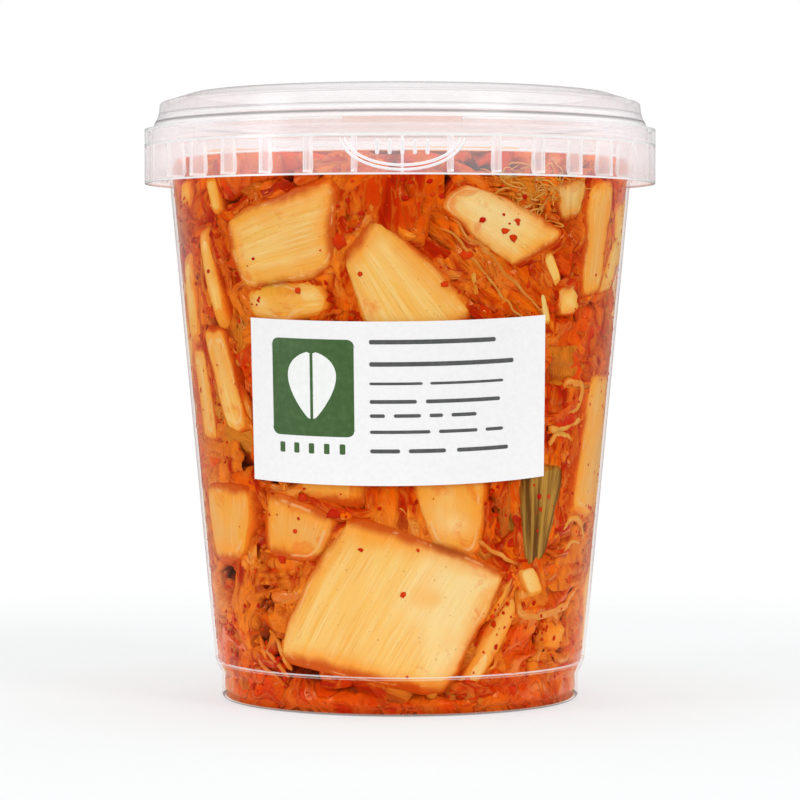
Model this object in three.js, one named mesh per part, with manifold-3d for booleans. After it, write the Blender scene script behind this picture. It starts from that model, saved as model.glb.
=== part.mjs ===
// A clear plastic tub of kimchi with a press-on lid and a paper label.
// Millimetres, +Z up. The origin is the middle of the ring that the tub stands on.
// The label and the tear-off tab face -Y.
import * as THREE from 'three';
import { mergeVertices } from 'three/addons/utils/BufferGeometryUtils.js';
import Module from 'manifold-3d';

const wasm = await Module();
wasm.setup();

// Driving dimensions of the moulding
const COLLAR_RADIUS = 59.0;
const WALL = 0.75;
const BASE_WALL_HEIGHT = 9.0;
const BASE_WALL_RADIUS = 42.85;
const DRAFT = 0.0939;
const FOOT_RADIUS = 41.35;
const FOOT_HEIGHT = 6.1;
const RECESS_UNDER_BASE = 0.8;
const FLOOR_TOP = 1.6;
const COLLAR_BOTTOM = 118.7;
const COLLAR_TOP = 131.1;
const WEB_BOTTOM = 127.0;
const WEB_TOP = 127.9;
const RIM_TOP = 132.4;
const ROUND_SIDES = 40;
const FILL_SIDES = 24;

// Driving dimensions of the lid
const FLANGE_RADIUS = 57.3;
const FLANGE_BOTTOM = 128.2;
const LID_WALL_RADIUS = 55.5;
const STACK_RADIUS = 46.6;
const PANEL_TOP = 133.8;
const OVERALL_HEIGHT = 139.3;
const PLUG_RADIUS = 52.6;
const PLUG_BOTTOM = 124.2;
const LID_WALL = 0.8;

// Driving dimensions of the fins between wall and collar
const FIN_COUNT = 34;
const FIN_THICKNESS = 0.6;
const FIN_BOTTOM = 119.3;
const FIN_TURN = 0.5;

// Driving dimensions of the tear-off tab in the collar
const TAB_MIDDLE = 0.5;
const TAB_HALF_WIDTH = 13.1;
const TAB_DROP = 7.2;
const TAB_HINGE_HEIGHT = 127.3;
const TAB_TOP = 129.9;
const TAB_SLOT = 0.4;
const TAB_RIM_WIDTH = 1.3;
const TAB_RIM_PROUD = 0.6;
const GRIP_BARS = 5;
const GRIP_BAR = { width: 0.9, height: 3.4, proud: 0.3, pitch: 2.7, middle: 124.6 };

// Driving dimensions of the label
const LABEL = { width: 70, height: 36, middle: 69.3, lean: -0.5, azimuth: -0.5 };
const LABEL_THICKNESS = 0.2;
const LABEL_GAP = 0.1;

// Driving dimensions of the filling
const FILL_CLEARANCE = 0.4;
const CORE_INSET = 3.3;
const BEDDED = 1.5;
const HEAP_TOP = 124.5;
const HEAP_LIMIT = 128.4;
const PLUG_CLEARANCE = 0.7;

const radians = THREE.MathUtils.degToRad;

// Outer radius of the tub's side wall above its foot
function wallRadius(height) {
  return BASE_WALL_RADIUS + DRAFT * (height - BASE_WALL_HEIGHT);
}

// Radius that the filling may reach, just inside the wall, foot or plug ring
function fillRadius(height) {
  const room = WALL + FILL_CLEARANCE;
  if (height < FOOT_HEIGHT) return FOOT_RADIUS - room;
  if (height > PLUG_BOTTOM - FILL_CLEARANCE) return PLUG_RADIUS - LID_WALL - PLUG_CLEARANCE;
  if (height > BASE_WALL_HEIGHT) return wallRadius(height) - room;
  const step = (height - FOOT_HEIGHT) / (BASE_WALL_HEIGHT - FOOT_HEIGHT);
  return THREE.MathUtils.lerp(FOOT_RADIUS, BASE_WALL_RADIUS, step) - room;
}

// A closed geometry with shared corners, as a solid that can be joined and cut
function solid(geometry) {
  const bare = geometry.clone();
  bare.deleteAttribute('normal');
  bare.deleteAttribute('uv');
  const merged = mergeVertices(bare, 1e-4);
  const index = Array.from(merged.index.array);
  const triVerts = [];
  for (let i = 0; i < index.length; i += 3) {
    const [a, b, c] = index.slice(i, i + 3);
    if (a !== b && b !== c && c !== a) triVerts.push(a, b, c);
  }
  const vertProperties = Float32Array.from(merged.attributes.position.array);
  const mesh = { numProp: 3, vertProperties, triVerts: Uint32Array.from(triVerts) };
  return new wasm.Manifold(new wasm.Mesh(mesh));
}

function named(name, shape, look) {
  const mesh = shape.getMesh();
  const geometry = new THREE.BufferGeometry();
  geometry.setAttribute('position', new THREE.BufferAttribute(mesh.vertProperties, 3));
  geometry.setIndex(new THREE.BufferAttribute(mesh.triVerts, 1));
  geometry.computeVertexNormals();
  const piece = new THREE.Mesh(geometry, new THREE.MeshStandardMaterial(look));
  piece.name = name;
  return piece;
}

// A profile of [radius, height] points turned about the upright axis, from azimuth 0 at -Y
function turned(profile, sides = ROUND_SIDES) {
  const points = profile.map(([radius, height]) => new THREE.Vector2(radius, height));
  return solid(new THREE.LatheGeometry(points, sides).rotateX(Math.PI / 2));
}

// Quarter of a circle as profile points, from one angle to another in degrees
function arc(centreRadius, centreHeight, size, from, to, steps = 3) {
  return Array.from({ length: steps + 1 }, (_, i) => {
    const angle = radians(from + ((to - from) * i) / steps);
    return [centreRadius + size * Math.cos(angle), centreHeight + size * Math.sin(angle)];
  });
}

// One injection-moulded shell: base, drafted wall, web and the collar that hides the rim
function tubShell() {
  const collarInner = COLLAR_RADIUS - 0.8;
  const wallTop = wallRadius(WEB_TOP) + 0.4;
  return turned([
    [0, RECESS_UNDER_BASE], [35.5, RECESS_UNDER_BASE], [36.5, 0],
    ...arc(FOOT_RADIUS - 1.15, 1, 1, -90, 0),
    [FOOT_RADIUS, FOOT_HEIGHT], [FOOT_RADIUS + 0.95, FOOT_HEIGHT + 1.5],
    [BASE_WALL_RADIUS, BASE_WALL_HEIGHT], [wallRadius(WEB_BOTTOM), WEB_BOTTOM],
    [collarInner, WEB_BOTTOM], [collarInner, COLLAR_BOTTOM], [COLLAR_RADIUS, COLLAR_BOTTOM],
    [COLLAR_RADIUS, COLLAR_TOP - 0.7], ...arc(COLLAR_RADIUS - 0.4, COLLAR_TOP - 0.4, 0.4, 30, 90, 2),
    [collarInner, COLLAR_TOP - 0.3], [collarInner, WEB_TOP],
    [wallTop, WEB_TOP], [wallTop, RIM_TOP - 1.5], [wallTop + 0.7, RIM_TOP - 0.9],
    [wallTop + 0.7, RIM_TOP - 0.5], [wallTop, RIM_TOP],
    [wallRadius(RIM_TOP) - WALL, RIM_TOP],
    [BASE_WALL_RADIUS - WALL, BASE_WALL_HEIGHT], [FOOT_RADIUS - WALL, FOOT_HEIGHT],
    [FOOT_RADIUS - WALL, FLOOR_TOP + 1], [FOOT_RADIUS - WALL - 1, FLOOR_TOP], [0, FLOOR_TOP],
  ]);
}

// The thin upright fins that carry the collar, evenly round the rim
function fins() {
  const inner = wallRadius(FIN_BOTTOM) + 0.6;
  const outer = COLLAR_RADIUS - 0.5;
  const height = WEB_BOTTOM + 0.4 - FIN_BOTTOM;
  return Array.from({ length: FIN_COUNT }, (_, i) => solid(
    new THREE.BoxGeometry(FIN_THICKNESS, outer - inner, height)
      .translate(0, -(inner + outer) / 2, FIN_BOTTOM + height / 2)
      .rotateZ(radians(FIN_TURN + (360 * i) / FIN_COUNT)),
  ));
}

// A strip of a half ellipse that hangs from the tab's hinge line, pushed through the collar
function tabStrip(grow, width, from, to, steps) {
  const outline = new THREE.Shape();
  const outer = [TAB_HALF_WIDTH + grow, TAB_DROP + grow];
  const inner = outer.map((size) => size - width);
  const angles = Array.from({ length: steps + 1 }, (_, i) => radians(from + ((to - from) * i) / steps));
  angles.forEach((a, i) => {
    const point = [outer[0] * Math.cos(a), outer[1] * Math.sin(a)];
    if (i === 0) outline.moveTo(...point);
    else outline.lineTo(...point);
  });
  for (const a of angles.toReversed()) outline.lineTo(inner[0] * Math.cos(a), inner[1] * Math.sin(a));
  outline.closePath();
  const depth = 12;
  return solid(new THREE.ExtrudeGeometry(outline, { depth, bevelEnabled: false })
    .rotateX(Math.PI / 2)
    .translate(TAB_MIDDLE, depth - COLLAR_RADIUS - 3, TAB_HINGE_HEIGHT));
}

function frontBox(x, width, low, high) {
  return solid(new THREE.BoxGeometry(width, 8, high - low)
    .translate(TAB_MIDDLE + x, -COLLAR_RADIUS, (low + high) / 2));
}

// Shell of the collar from one radius to another, for pieces that stand proud of it
function collarShell(inner, outer) {
  return turned([[inner, COLLAR_BOTTOM + 0.2], [outer, COLLAR_BOTTOM + 0.2],
    [outer, COLLAR_TOP], [inner, COLLAR_TOP], [inner, COLLAR_BOTTOM + 0.2]], ROUND_SIDES);
}

// The tab is cut free along its curve, but for four small bridges and a hinge at each end
function tabbed(tub) {
  const bridges = [181, 219, 238, 302, 321, 359];
  let result = tub;
  for (let i = 0; i < bridges.length - 1; i += 1) {
    const span = [bridges[i] + 2, bridges[i + 1] - 2];
    result = result.subtract(tabStrip(0, TAB_SLOT, ...span, Math.round((span[1] - span[0]) / 8)));
  }
  const above = COLLAR_TOP + 1;
  for (const side of [-1, 1]) {
    const slit = frontBox(side * (TAB_HALF_WIDTH - 0.7), 0.5, TAB_HINGE_HEIGHT + 1.1, above);
    result = result.subtract(slit);
  }
  result = result.subtract(frontBox(0, 2 * TAB_HALF_WIDTH - 1.2, TAB_TOP, above));
  const raised = collarShell(COLLAR_RADIUS - 0.4, COLLAR_RADIUS + TAB_RIM_PROUD);
  result = result.add(tabStrip(TAB_RIM_WIDTH, TAB_RIM_WIDTH, 184, 356, 16).intersect(raised));
  const lifted = collarShell(COLLAR_RADIUS - 0.4, COLLAR_RADIUS + GRIP_BAR.proud);
  const { width, height, pitch, middle } = GRIP_BAR;
  for (let i = 0; i < GRIP_BARS; i += 1) {
    const x = (i - (GRIP_BARS - 1) / 2) * pitch;
    result = result.add(frontBox(x, width, middle - height / 2, middle + height / 2).intersect(lifted));
  }
  return result;
}

function tub() {
  const joined = fins().reduce((whole, fin) => whole.add(fin), tubShell());
  const look = { color: 0xf2ece8, roughness: 0.15, metalness: 0, transparent: true, opacity: 0.3 };
  return named('tub', tabbed(joined), look);
}

// One moulding: recessed panel, stacking ridge, side wall, snap flange and plug ring
function lid() {
  const under = PANEL_TOP - LID_WALL;
  const profile = [
    [0, under], [STACK_RADIUS - 1.2, under], [STACK_RADIUS, under + 0.9],
    [STACK_RADIUS + 1.0, OVERALL_HEIGHT - 1.0], [STACK_RADIUS + 2.0, OVERALL_HEIGHT - LID_WALL],
    [PLUG_RADIUS - LID_WALL - 0.2, OVERALL_HEIGHT - 1.9],
    [PLUG_RADIUS - LID_WALL - 0.1, PLUG_BOTTOM + 1], [PLUG_RADIUS - LID_WALL, PLUG_BOTTOM],
    [PLUG_RADIUS - 0.3, PLUG_BOTTOM], [PLUG_RADIUS, PLUG_BOTTOM + 1],
    [PLUG_RADIUS + 0.3, RIM_TOP], [PLUG_RADIUS + 0.2, OVERALL_HEIGHT - 2.4],
    [LID_WALL_RADIUS - LID_WALL, OVERALL_HEIGHT - 3.3], [LID_WALL_RADIUS - 0.35, RIM_TOP + 1.3],
    [FLANGE_RADIUS - 1.2, COLLAR_TOP + 0.2], [FLANGE_RADIUS - 2.1, COLLAR_TOP - 0.7],
    [FLANGE_RADIUS - 2.1, COLLAR_TOP - 1.1], [FLANGE_RADIUS - LID_WALL, FLANGE_BOTTOM + 1.1],
    [FLANGE_RADIUS - LID_WALL, FLANGE_BOTTOM], [FLANGE_RADIUS, FLANGE_BOTTOM],
    [FLANGE_RADIUS, COLLAR_TOP], [LID_WALL_RADIUS + 0.4, RIM_TOP + 1.6],
    [LID_WALL_RADIUS, OVERALL_HEIGHT - 2.5], [LID_WALL_RADIUS - 1.1, OVERALL_HEIGHT - 1.8],
    [STACK_RADIUS + 1.6, OVERALL_HEIGHT], [STACK_RADIUS + 0.5, OVERALL_HEIGHT - 0.2],
    [STACK_RADIUS, OVERALL_HEIGHT - 0.8], [STACK_RADIUS - 0.9, PANEL_TOP + 0.7],
    [STACK_RADIUS - 1.8, PANEL_TOP], [0, PANEL_TOP],
  ];
  const look = { color: 0xf6f4f3, roughness: 0.12, metalness: 0, transparent: true, opacity: 0.25 };
  return named('lid', turned(profile), look);
}

// A sheet of two faces and an edge over a grid; at(u, v, side) gives a point of either face
function sheet(columns, rows, at) {
  const positions = [];
  const index = [];
  const across = rows + 1;
  const corner = (side, i, j) => (side * (columns + 1) + i) * across + j;
  for (const side of [0, 1]) {
    for (let i = 0; i <= columns; i += 1) {
      for (let j = 0; j <= rows; j += 1) {
        positions.push(...at((2 * i) / columns - 1, (2 * j) / rows - 1, side));
      }
    }
  }
  const quad = (a, b, c, d) => index.push(a, b, d, b, c, d);
  for (let i = 0; i < columns; i += 1) {
    for (let j = 0; j < rows; j += 1) {
      quad(corner(0, i, j), corner(0, i + 1, j), corner(0, i + 1, j + 1), corner(0, i, j + 1));
      index.push(corner(1, i, j), corner(1, i, j + 1), corner(1, i + 1, j));
      index.push(corner(1, i + 1, j), corner(1, i, j + 1), corner(1, i + 1, j + 1));
    }
    quad(corner(1, i, 0), corner(1, i + 1, 0), corner(0, i + 1, 0), corner(0, i, 0));
    quad(corner(0, i, rows), corner(0, i + 1, rows), corner(1, i + 1, rows), corner(1, i, rows));
  }
  for (let j = 0; j < rows; j += 1) {
    quad(corner(0, 0, j), corner(0, 0, j + 1), corner(1, 0, j + 1), corner(1, 0, j));
    quad(corner(1, columns, j), corner(1, columns, j + 1), corner(0, columns, j + 1), corner(0, columns, j));
  }
  const geometry = new THREE.BufferGeometry();
  geometry.setAttribute('position', new THREE.Float32BufferAttribute(positions, 3));
  geometry.setIndex(index);
  return solid(geometry);
}

function onRound(radius, azimuth, height) {
  return [radius * Math.sin(azimuth), -radius * Math.cos(azimuth), height];
}

// A flat rectangle laid on the cone of the wall: on the unrolled cone each of its points is
// a distance and an angle from the apex, and the angle divided by the slope is the azimuth
function label() {
  const slope = Math.atan(DRAFT);
  const apex = wallRadius(LABEL.middle) / Math.sin(slope);
  const lean = radians(LABEL.lean);
  const shape = sheet(18, 2, (u, v, side) => {
    const across = (u * LABEL.width) / 2;
    const up = (v * LABEL.height) / 2;
    const p = across * Math.cos(lean) + up * Math.sin(lean);
    const q = up * Math.cos(lean) - across * Math.sin(lean);
    const distance = Math.hypot(p, apex + q);
    const azimuth = Math.atan2(p, apex + q) / Math.sin(slope) + radians(LABEL.azimuth);
    const radius = distance * Math.sin(slope) + LABEL_GAP + (side === 0 ? LABEL_THICKNESS : 0);
    return onRound(radius, azimuth, LABEL.middle + (distance - apex) * Math.cos(slope));
  });
  return named('label', shape, { color: 0xf9f8f8, roughness: 0.6, metalness: 0 });
}

// Pieces of cabbage that press on the wall, front ones first, as they lie in the tub.
// azimuth and turn are degrees, turn being the lean of the piece's length to the right
const FRONT_PIECES = [
  { azimuth: -33, height: 103.5, length: 27, width: 21, thick: 7, turn: 75 },
  { azimuth: 3, height: 94, length: 38, width: 25, thick: 10, turn: -50 },
  { azimuth: 31, height: 107.5, length: 28, width: 17, thick: 7, turn: -60 },
  { azimuth: 25, height: 99, length: 36, width: 8, thick: 3, turn: -47 },
  { azimuth: 42, height: 99, length: 11, width: 7, thick: 3, turn: -15 },
  { azimuth: 60, height: 105.5, length: 26, width: 9, thick: 4, turn: 3 },
  { azimuth: 69, height: 96, length: 15, width: 8, thick: 4, turn: 12 },
  { azimuth: 47, height: 115, length: 14, width: 9, thick: 4, turn: -20 },
  { azimuth: -69, height: 113, length: 13, width: 7, thick: 4, turn: 0 },
  { azimuth: -55, height: 100, length: 32, width: 10, thick: 4, turn: -8 },
  { azimuth: -57, height: 76, length: 26, width: 12, thick: 5, turn: -22 },
  { azimuth: -62, height: 46, length: 29, width: 24, thick: 8, turn: -12 },
  { azimuth: -30, height: 44, length: 20, width: 16, thick: 6, turn: -55 },
  { azimuth: -1, height: 22, length: 38, width: 37, thick: 13, turn: 27 },
  { azimuth: 13, height: 48, length: 27, width: 20, thick: 8, turn: 30 },
  { azimuth: 45, height: 44, length: 22, width: 11, thick: 4, turn: 12 },
  { azimuth: 32, height: 47, length: 18, width: 10, thick: 4, turn: -20 },
  { azimuth: 65, height: 58, length: 34, width: 16, thick: 6, turn: 6 },
  { azimuth: 41, height: 29, length: 9, width: 7, thick: 4, turn: 40 },
  { azimuth: 62, height: 24, length: 22, width: 4, thick: 3, turn: 62 },
  { azimuth: 56, height: 15, length: 14, width: 9, thick: 4, turn: 80 },
  { azimuth: -50, height: 16, length: 15, width: 12, thick: 4, turn: -30 },
  { azimuth: -20, height: 72, length: 30, width: 24, thick: 8, turn: -30 },
  { azimuth: 22, height: 72, length: 32, width: 22, thick: 8, turn: 40 },
  { azimuth: 62, height: 82, length: 15, width: 12, thick: 4, turn: -35 },
];

// Repeatable draws from 0 to 1, by the multiply and add rule
function dice(seed) {
  let state = seed;
  return () => {
    state = (state * 1664525 + 1013904223) % 4294967296;
    return state / 4294967296;
  };
}

// Pieces round the sides and back, in staggered rows between the last front ones
function backPieces() {
  const draw = dice(7);
  const rows = [21, 50, 79, 107];
  return rows.flatMap((height, row) => Array.from({ length: 5 }, (_, i) => ({
    azimuth: 92 + 37 * (i + (row % 2) / 2) + 10 * (draw() - 0.5),
    height: height + 8 * (draw() - 0.5),
    length: 26 + 12 * draw(),
    width: 18 + 8 * draw(),
    thick: 6 + 3 * draw(),
    turn: 180 * draw() - 90,
  })));
}

// A stem: a plate with round corners that is thickest along its middle. It is bowed to the
// wall at (azimuth, height), and its edges fall back from the wall
function wallPiece({ azimuth, height, length, width, thick, turn }) {
  const lean = radians(turn);
  const fallBack = 0.3 * thick;
  const columns = length > 20 ? 4 : 3;
  const rows = width > 12 ? 3 : 2;
  return sheet(columns, rows, (u, v, side) => {
    const along = (u * Math.sqrt(1 - 0.22 * v * v) * length) / 2;
    const across = (v * Math.sqrt(1 - 0.22 * u * u) * width) / 2;
    const up = along * Math.cos(lean) - across * Math.sin(lean);
    const right = along * Math.sin(lean) + across * Math.cos(lean);
    const z = THREE.MathUtils.clamp(height + up, FLOOR_TOP + 1, PLUG_BOTTOM - 1);
    const edge = Math.max(u * u, v * v);
    const face = Math.max(0, fallBack * edge - 0.6);
    const depth = side === 1 ? face : Math.max(thick, CORE_INSET) + BEDDED;
    const radius = fillRadius(z) - depth;
    return onRound(radius, radians(azimuth) + right / fillRadius(height), z);
  });
}

// A stem that lies on top of the heap
function topPiece({ azimuth, reach, length, width, thick, turn, tilt }) {
  const geometry = new THREE.SphereGeometry(0.5, 7, 5);
  geometry.scale(length, width, thick);
  geometry.rotateY(radians(tilt)).rotateZ(radians(turn));
  const [x, y] = onRound(reach, radians(azimuth), 0);
  return solid(geometry.translate(x, y, HEAP_TOP - thick / 4));
}

function topPieces() {
  const draw = dice(19);
  return Array.from({ length: 7 }, (_, i) => ({
    azimuth: 137.5 * i + 20 * draw(),
    reach: 42 * Math.sqrt((i + 0.3) / 7),
    length: 20 + 14 * draw(),
    width: 12 + 8 * draw(),
    thick: 6 + 3 * draw(),
    turn: 180 * draw(),
    tilt: 14 * (draw() - 0.5),
  }));
}

// The space that the filling may take, from the floor up to inside the plug ring of the lid
function fillSpace() {
  const heights = [FLOOR_TOP + FILL_CLEARANCE, FOOT_HEIGHT - 0.1, BASE_WALL_HEIGHT, PLUG_BOTTOM - 0.5];
  const side = heights.map((height) => [fillRadius(height), height]);
  const neck = fillRadius(PLUG_BOTTOM);
  return turned([[0, heights[0]], ...side, [neck, PLUG_BOTTOM - 0.4], [neck, HEAP_LIMIT], [0, HEAP_LIMIT]],
    FILL_SIDES);
}

// The mass of small leaf and paste that the large pieces are bedded in, with an uneven top
function core() {
  const side = [[1.5, 2.1], [0.4, 5], [0.4, 10], [CORE_INSET, 16], [CORE_INSET, 45], [CORE_INSET, 80],
    [CORE_INSET, 112], [CORE_INSET + 0.7, HEAP_TOP - 5]];
  const points = side.map(([inset, height]) => new THREE.Vector2(fillRadius(height) - inset, height));
  const top = [[36, HEAP_TOP - 1], [18, HEAP_TOP], [0, HEAP_TOP]];
  points.unshift(new THREE.Vector2(0, side[0][1]));
  points.push(...top.map(([radius, height]) => new THREE.Vector2(radius, height)));
  const geometry = new THREE.LatheGeometry(points, FILL_SIDES).rotateX(Math.PI / 2);
  const place = geometry.attributes.position;
  for (let i = 0; i < place.count; i += 1) {
    const [x, y, z] = [place.getX(i), place.getY(i), place.getZ(i)];
    const wave = Math.sin(0.13 * x + 1.7) * Math.cos(0.15 * y) + 0.5 * Math.sin(0.21 * (x + y));
    if (z > HEAP_TOP - 8) place.setZ(i, z + 1.6 * wave);
  }
  return solid(geometry);
}

// All the pieces fused into one heap, with sealed gaps filled and loose scraps dropped
function kimchi() {
  const bed = topPieces().map(topPiece).reduce((heap, piece) => heap.add(piece), core());
  const pieces = [...FRONT_PIECES, ...backPieces()].map(wallPiece);
  const joined = pieces.reduce((heap, piece) => heap.add(piece), bed.intersect(fillSpace()));
  const bodies = joined.decompose().filter((body) => body.volume() > 0);
  const heap = bodies.reduce((largest, body) => (body.volume() > largest.volume() ? body : largest));
  return named('kimchi', heap.simplify(0.02), { color: 0xd98238, roughness: 0.35, metalness: 0 });
}

const jar = new THREE.Group();
jar.add(tub(), lid(), label(), kimchi());

export default jar;
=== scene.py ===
import math

import bmesh
import bpy
import numpy as np
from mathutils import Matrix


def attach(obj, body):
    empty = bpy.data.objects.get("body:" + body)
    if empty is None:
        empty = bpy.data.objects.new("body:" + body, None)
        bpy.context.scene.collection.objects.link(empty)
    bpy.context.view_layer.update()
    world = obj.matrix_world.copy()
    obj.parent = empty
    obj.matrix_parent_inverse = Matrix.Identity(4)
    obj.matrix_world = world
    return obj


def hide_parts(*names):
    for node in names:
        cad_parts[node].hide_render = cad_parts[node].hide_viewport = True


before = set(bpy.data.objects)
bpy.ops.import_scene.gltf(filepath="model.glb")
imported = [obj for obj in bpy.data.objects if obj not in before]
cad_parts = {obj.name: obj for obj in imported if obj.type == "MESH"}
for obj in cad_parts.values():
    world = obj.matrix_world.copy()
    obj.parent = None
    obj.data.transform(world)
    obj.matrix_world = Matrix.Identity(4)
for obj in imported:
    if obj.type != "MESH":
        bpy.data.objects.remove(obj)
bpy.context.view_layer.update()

# The studio: a seamless white floor under a white sky, one large soft lamp to the right,
# one to the left and one above. The tub stands 0.75 m from the lens, which looks slightly down.
LENS_DISTANCE = 0.752
LENS_HEIGHT = 0.0903
LENS_PITCH = 1.64
LENS_LENGTH = 145.8

camera = bpy.data.objects.new("camera", bpy.data.cameras.new("camera"))
camera.data.lens = LENS_LENGTH
camera.data.sensor_width = 36
camera.data.clip_start = 0.02
camera.location = (0, -LENS_DISTANCE, LENS_HEIGHT)
camera.rotation_euler = (math.radians(90 - LENS_PITCH), 0, 0)
bpy.context.scene.collection.objects.link(camera)
bpy.context.scene.camera = camera
bpy.context.scene.view_settings.view_transform = "Standard"
bpy.context.scene.cycles.transparent_max_bounces = 32


def srgb(red, green, blue):
    """A colour as seen on a screen, 0 to 255, as the linear colour that a shader takes."""
    shares = np.array([red, green, blue]) / 255
    linear = np.where(shares <= 0.04045, shares / 12.92, ((shares + 0.055) / 1.055) ** 2.4)
    return (*linear.tolist(), 1.0)


class Value:
    """One socket of the finish being made; arithmetic on it adds Math nodes."""

    def __init__(self, finish, socket):
        self.finish = finish
        self.socket = socket

    def maths(self, operation, *terms):
        return self.finish.node("ShaderNodeMath", {"operation": operation}, dict(enumerate(terms)))

    def __add__(self, other):
        return self.maths("ADD", self, other)

    def __sub__(self, other):
        return self.maths("SUBTRACT", self, other)

    def __rsub__(self, other):
        return self.maths("SUBTRACT", other, self)

    def __mul__(self, other):
        return self.maths("MULTIPLY", self, other)

    def __truediv__(self, other):
        return self.maths("DIVIDE", self, other)

    def __pow__(self, other):
        return self.maths("POWER", self, other)

    __radd__ = __add__
    __rmul__ = __mul__

    def size(self):
        return self.maths("ABSOLUTE", self)

    def above(self, low, high):
        """0 below low, 1 above high and smooth between; with low the larger, 1 below and 0 above."""
        inputs = {"Value": self, "From Min": low, "From Max": high}
        return self.finish.node("ShaderNodeMapRange", {"interpolation_type": "SMOOTHSTEP"}, inputs)


class Finish:
    """A material or the world, built node by node, and the coordinates and fields it reads."""

    def __init__(self, name, kind="materials"):
        self.made = getattr(bpy.data, kind).new(name)
        self.made.use_nodes = True
        self.tree = self.made.node_tree
        self.tree.nodes.clear()

    def node(self, kind, settings, inputs, output=0):
        """Adds one node: its settings first, then a value or a link for each socket."""
        made = self.tree.nodes.new(kind)
        for key, setting in settings.items():
            setattr(made, key, setting)
        for key, given in inputs.items():
            if isinstance(given, Value):
                self.tree.links.new(given.socket, made.inputs[key])
            else:
                made.inputs[key].default_value = given
        return Value(self, made.outputs[output])

    def place(self, scale=(1, 1, 1)):
        """Object coordinates, stretched by scale."""
        where = self.node("ShaderNodeTexCoord", {}, {}, "Object")
        return self.node("ShaderNodeMapping", {}, {"Vector": where, "Scale": scale})

    def field(self, name, output="Fac"):
        """What the mesh carries at each point under that name."""
        return self.node("ShaderNodeAttribute", {"attribute_name": name}, {}, output)

    def along_grain(self, scale):
        """The piece's own (across, along, draw) coordinates in mm, stretched by scale."""
        grain = self.field("grain", "Vector")
        return self.node("ShaderNodeMapping", {}, {"Vector": grain, "Scale": scale})

    def noise(self, where, scale, detail=3.0, roughness=0.55, swirl=0.0):
        """Noise from 0 to 1 about 0.5, with scale swells in each unit of where."""
        inputs = {"Vector": where, "Scale": scale, "Detail": detail, "Roughness": roughness,
                  "Distortion": swirl}
        return self.node("ShaderNodeTexNoise", {}, inputs)

    def blend(self, share, first, second):
        """The first colour where share is 0 and the second where it is 1."""
        settings = {"data_type": "RGBA", "clamp_factor": True}
        return self.node("ShaderNodeMix", settings, {0: share, 6: first, 7: second}, 2)

    def layers(self, colour, overlays):
        """The colour with (share, colour) overlays laid on it in turn."""
        for share, over in overlays:
            colour = self.blend(share, colour, over)
        return colour

    def bump(self, height, distance, strength):
        """A normal that leans as a height from 0 to 1 would tilt it, over a distance in metres."""
        inputs = {"Height": height, "Distance": distance, "Strength": strength}
        return self.node("ShaderNodeBump", {}, inputs)

    def done(self, shader, kind="ShaderNodeOutputMaterial"):
        """Ends the tree with the shader and gives the material or the world."""
        end = self.tree.nodes.new(kind)
        self.tree.links.new(shader.socket, end.inputs["Surface"])
        return self.made


def skin(points, wrap_rows=False, wrap_columns=False):
    """Quads over a grid of points (rows, columns, 3); a wrapped side is joined to its start."""
    rows, columns = points.shape[:2]
    i, j = np.meshgrid(np.arange(rows if wrap_rows else rows - 1),
                       np.arange(columns if wrap_columns else columns - 1), indexing="ij")
    down, right = (i + 1) % rows, (j + 1) % columns
    quads = np.stack([i * columns + j, i * columns + right, down * columns + right,
                      down * columns + j], axis=-1)
    return points.reshape(-1, 3), quads.reshape(-1, 4)


def put(name, parts, material, sharp=None, fields=None):
    """One object from (points in mm, faces) parts, welded where they meet, in metres.

    Edges that turn by more than sharp degrees stay sharp; fields are values at the points.
    """
    starts = np.cumsum([0] + [len(points) for points, _ in parts])
    points = np.concatenate([points for points, _ in parts]) / 1000
    faces = np.concatenate([faces + start for (_, faces), start in zip(parts, starts)])
    mesh = bpy.data.meshes.new(name)
    mesh.from_pydata(points.tolist(), [], faces.tolist())
    for field, values in (fields or {}).items():
        kind, slot = ("FLOAT_VECTOR", "vector") if values.ndim == 2 else ("FLOAT", "value")
        layer = mesh.attributes.new(field, kind, "POINT")
        layer.data.foreach_set(slot, values.astype(np.float32).ravel())
    work = bmesh.new()
    work.from_mesh(mesh)
    bmesh.ops.remove_doubles(work, verts=work.verts, dist=1e-6)
    bmesh.ops.dissolve_degenerate(work, edges=work.edges, dist=1e-7)
    work.to_mesh(mesh)
    work.free()
    mesh.shade_smooth()
    if sharp:
        mesh.set_sharp_from_angle(angle=math.radians(sharp))
    mesh.materials.append(material)
    made = bpy.data.objects.new(name, mesh)
    bpy.context.scene.collection.objects.link(made)
    return made


def studio_lamp(name, place, aim, size, watts):
    """A rectangular soft lamp at a place in metres, turned to face aim."""
    lamp = bpy.data.objects.new(name, bpy.data.lights.new(name, "AREA"))
    lamp.data.shape = "RECTANGLE"
    lamp.data.size, lamp.data.size_y = size
    lamp.data.energy = watts
    lamp.location = place
    away = np.subtract(aim, place)
    lamp.rotation_euler = (math.atan2(math.hypot(away[0], away[1]), -away[2]), 0,
                           math.atan2(-away[0], away[1]))
    bpy.context.scene.collection.objects.link(lamp)


TUB_MIDDLE = (0, 0, 0.07)
studio_lamp("key_right", (0.75, -0.75, 0.6), TUB_MIDDLE, (0.4, 0.8), 5.3)
studio_lamp("fill_left", (-0.9, -0.45, 0.35), TUB_MIDDLE, (0.35, 0.7), 3.6)
studio_lamp("top", (0, 0.1, 1.0), TUB_MIDDLE, (0.9, 0.9), 4.8)

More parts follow.
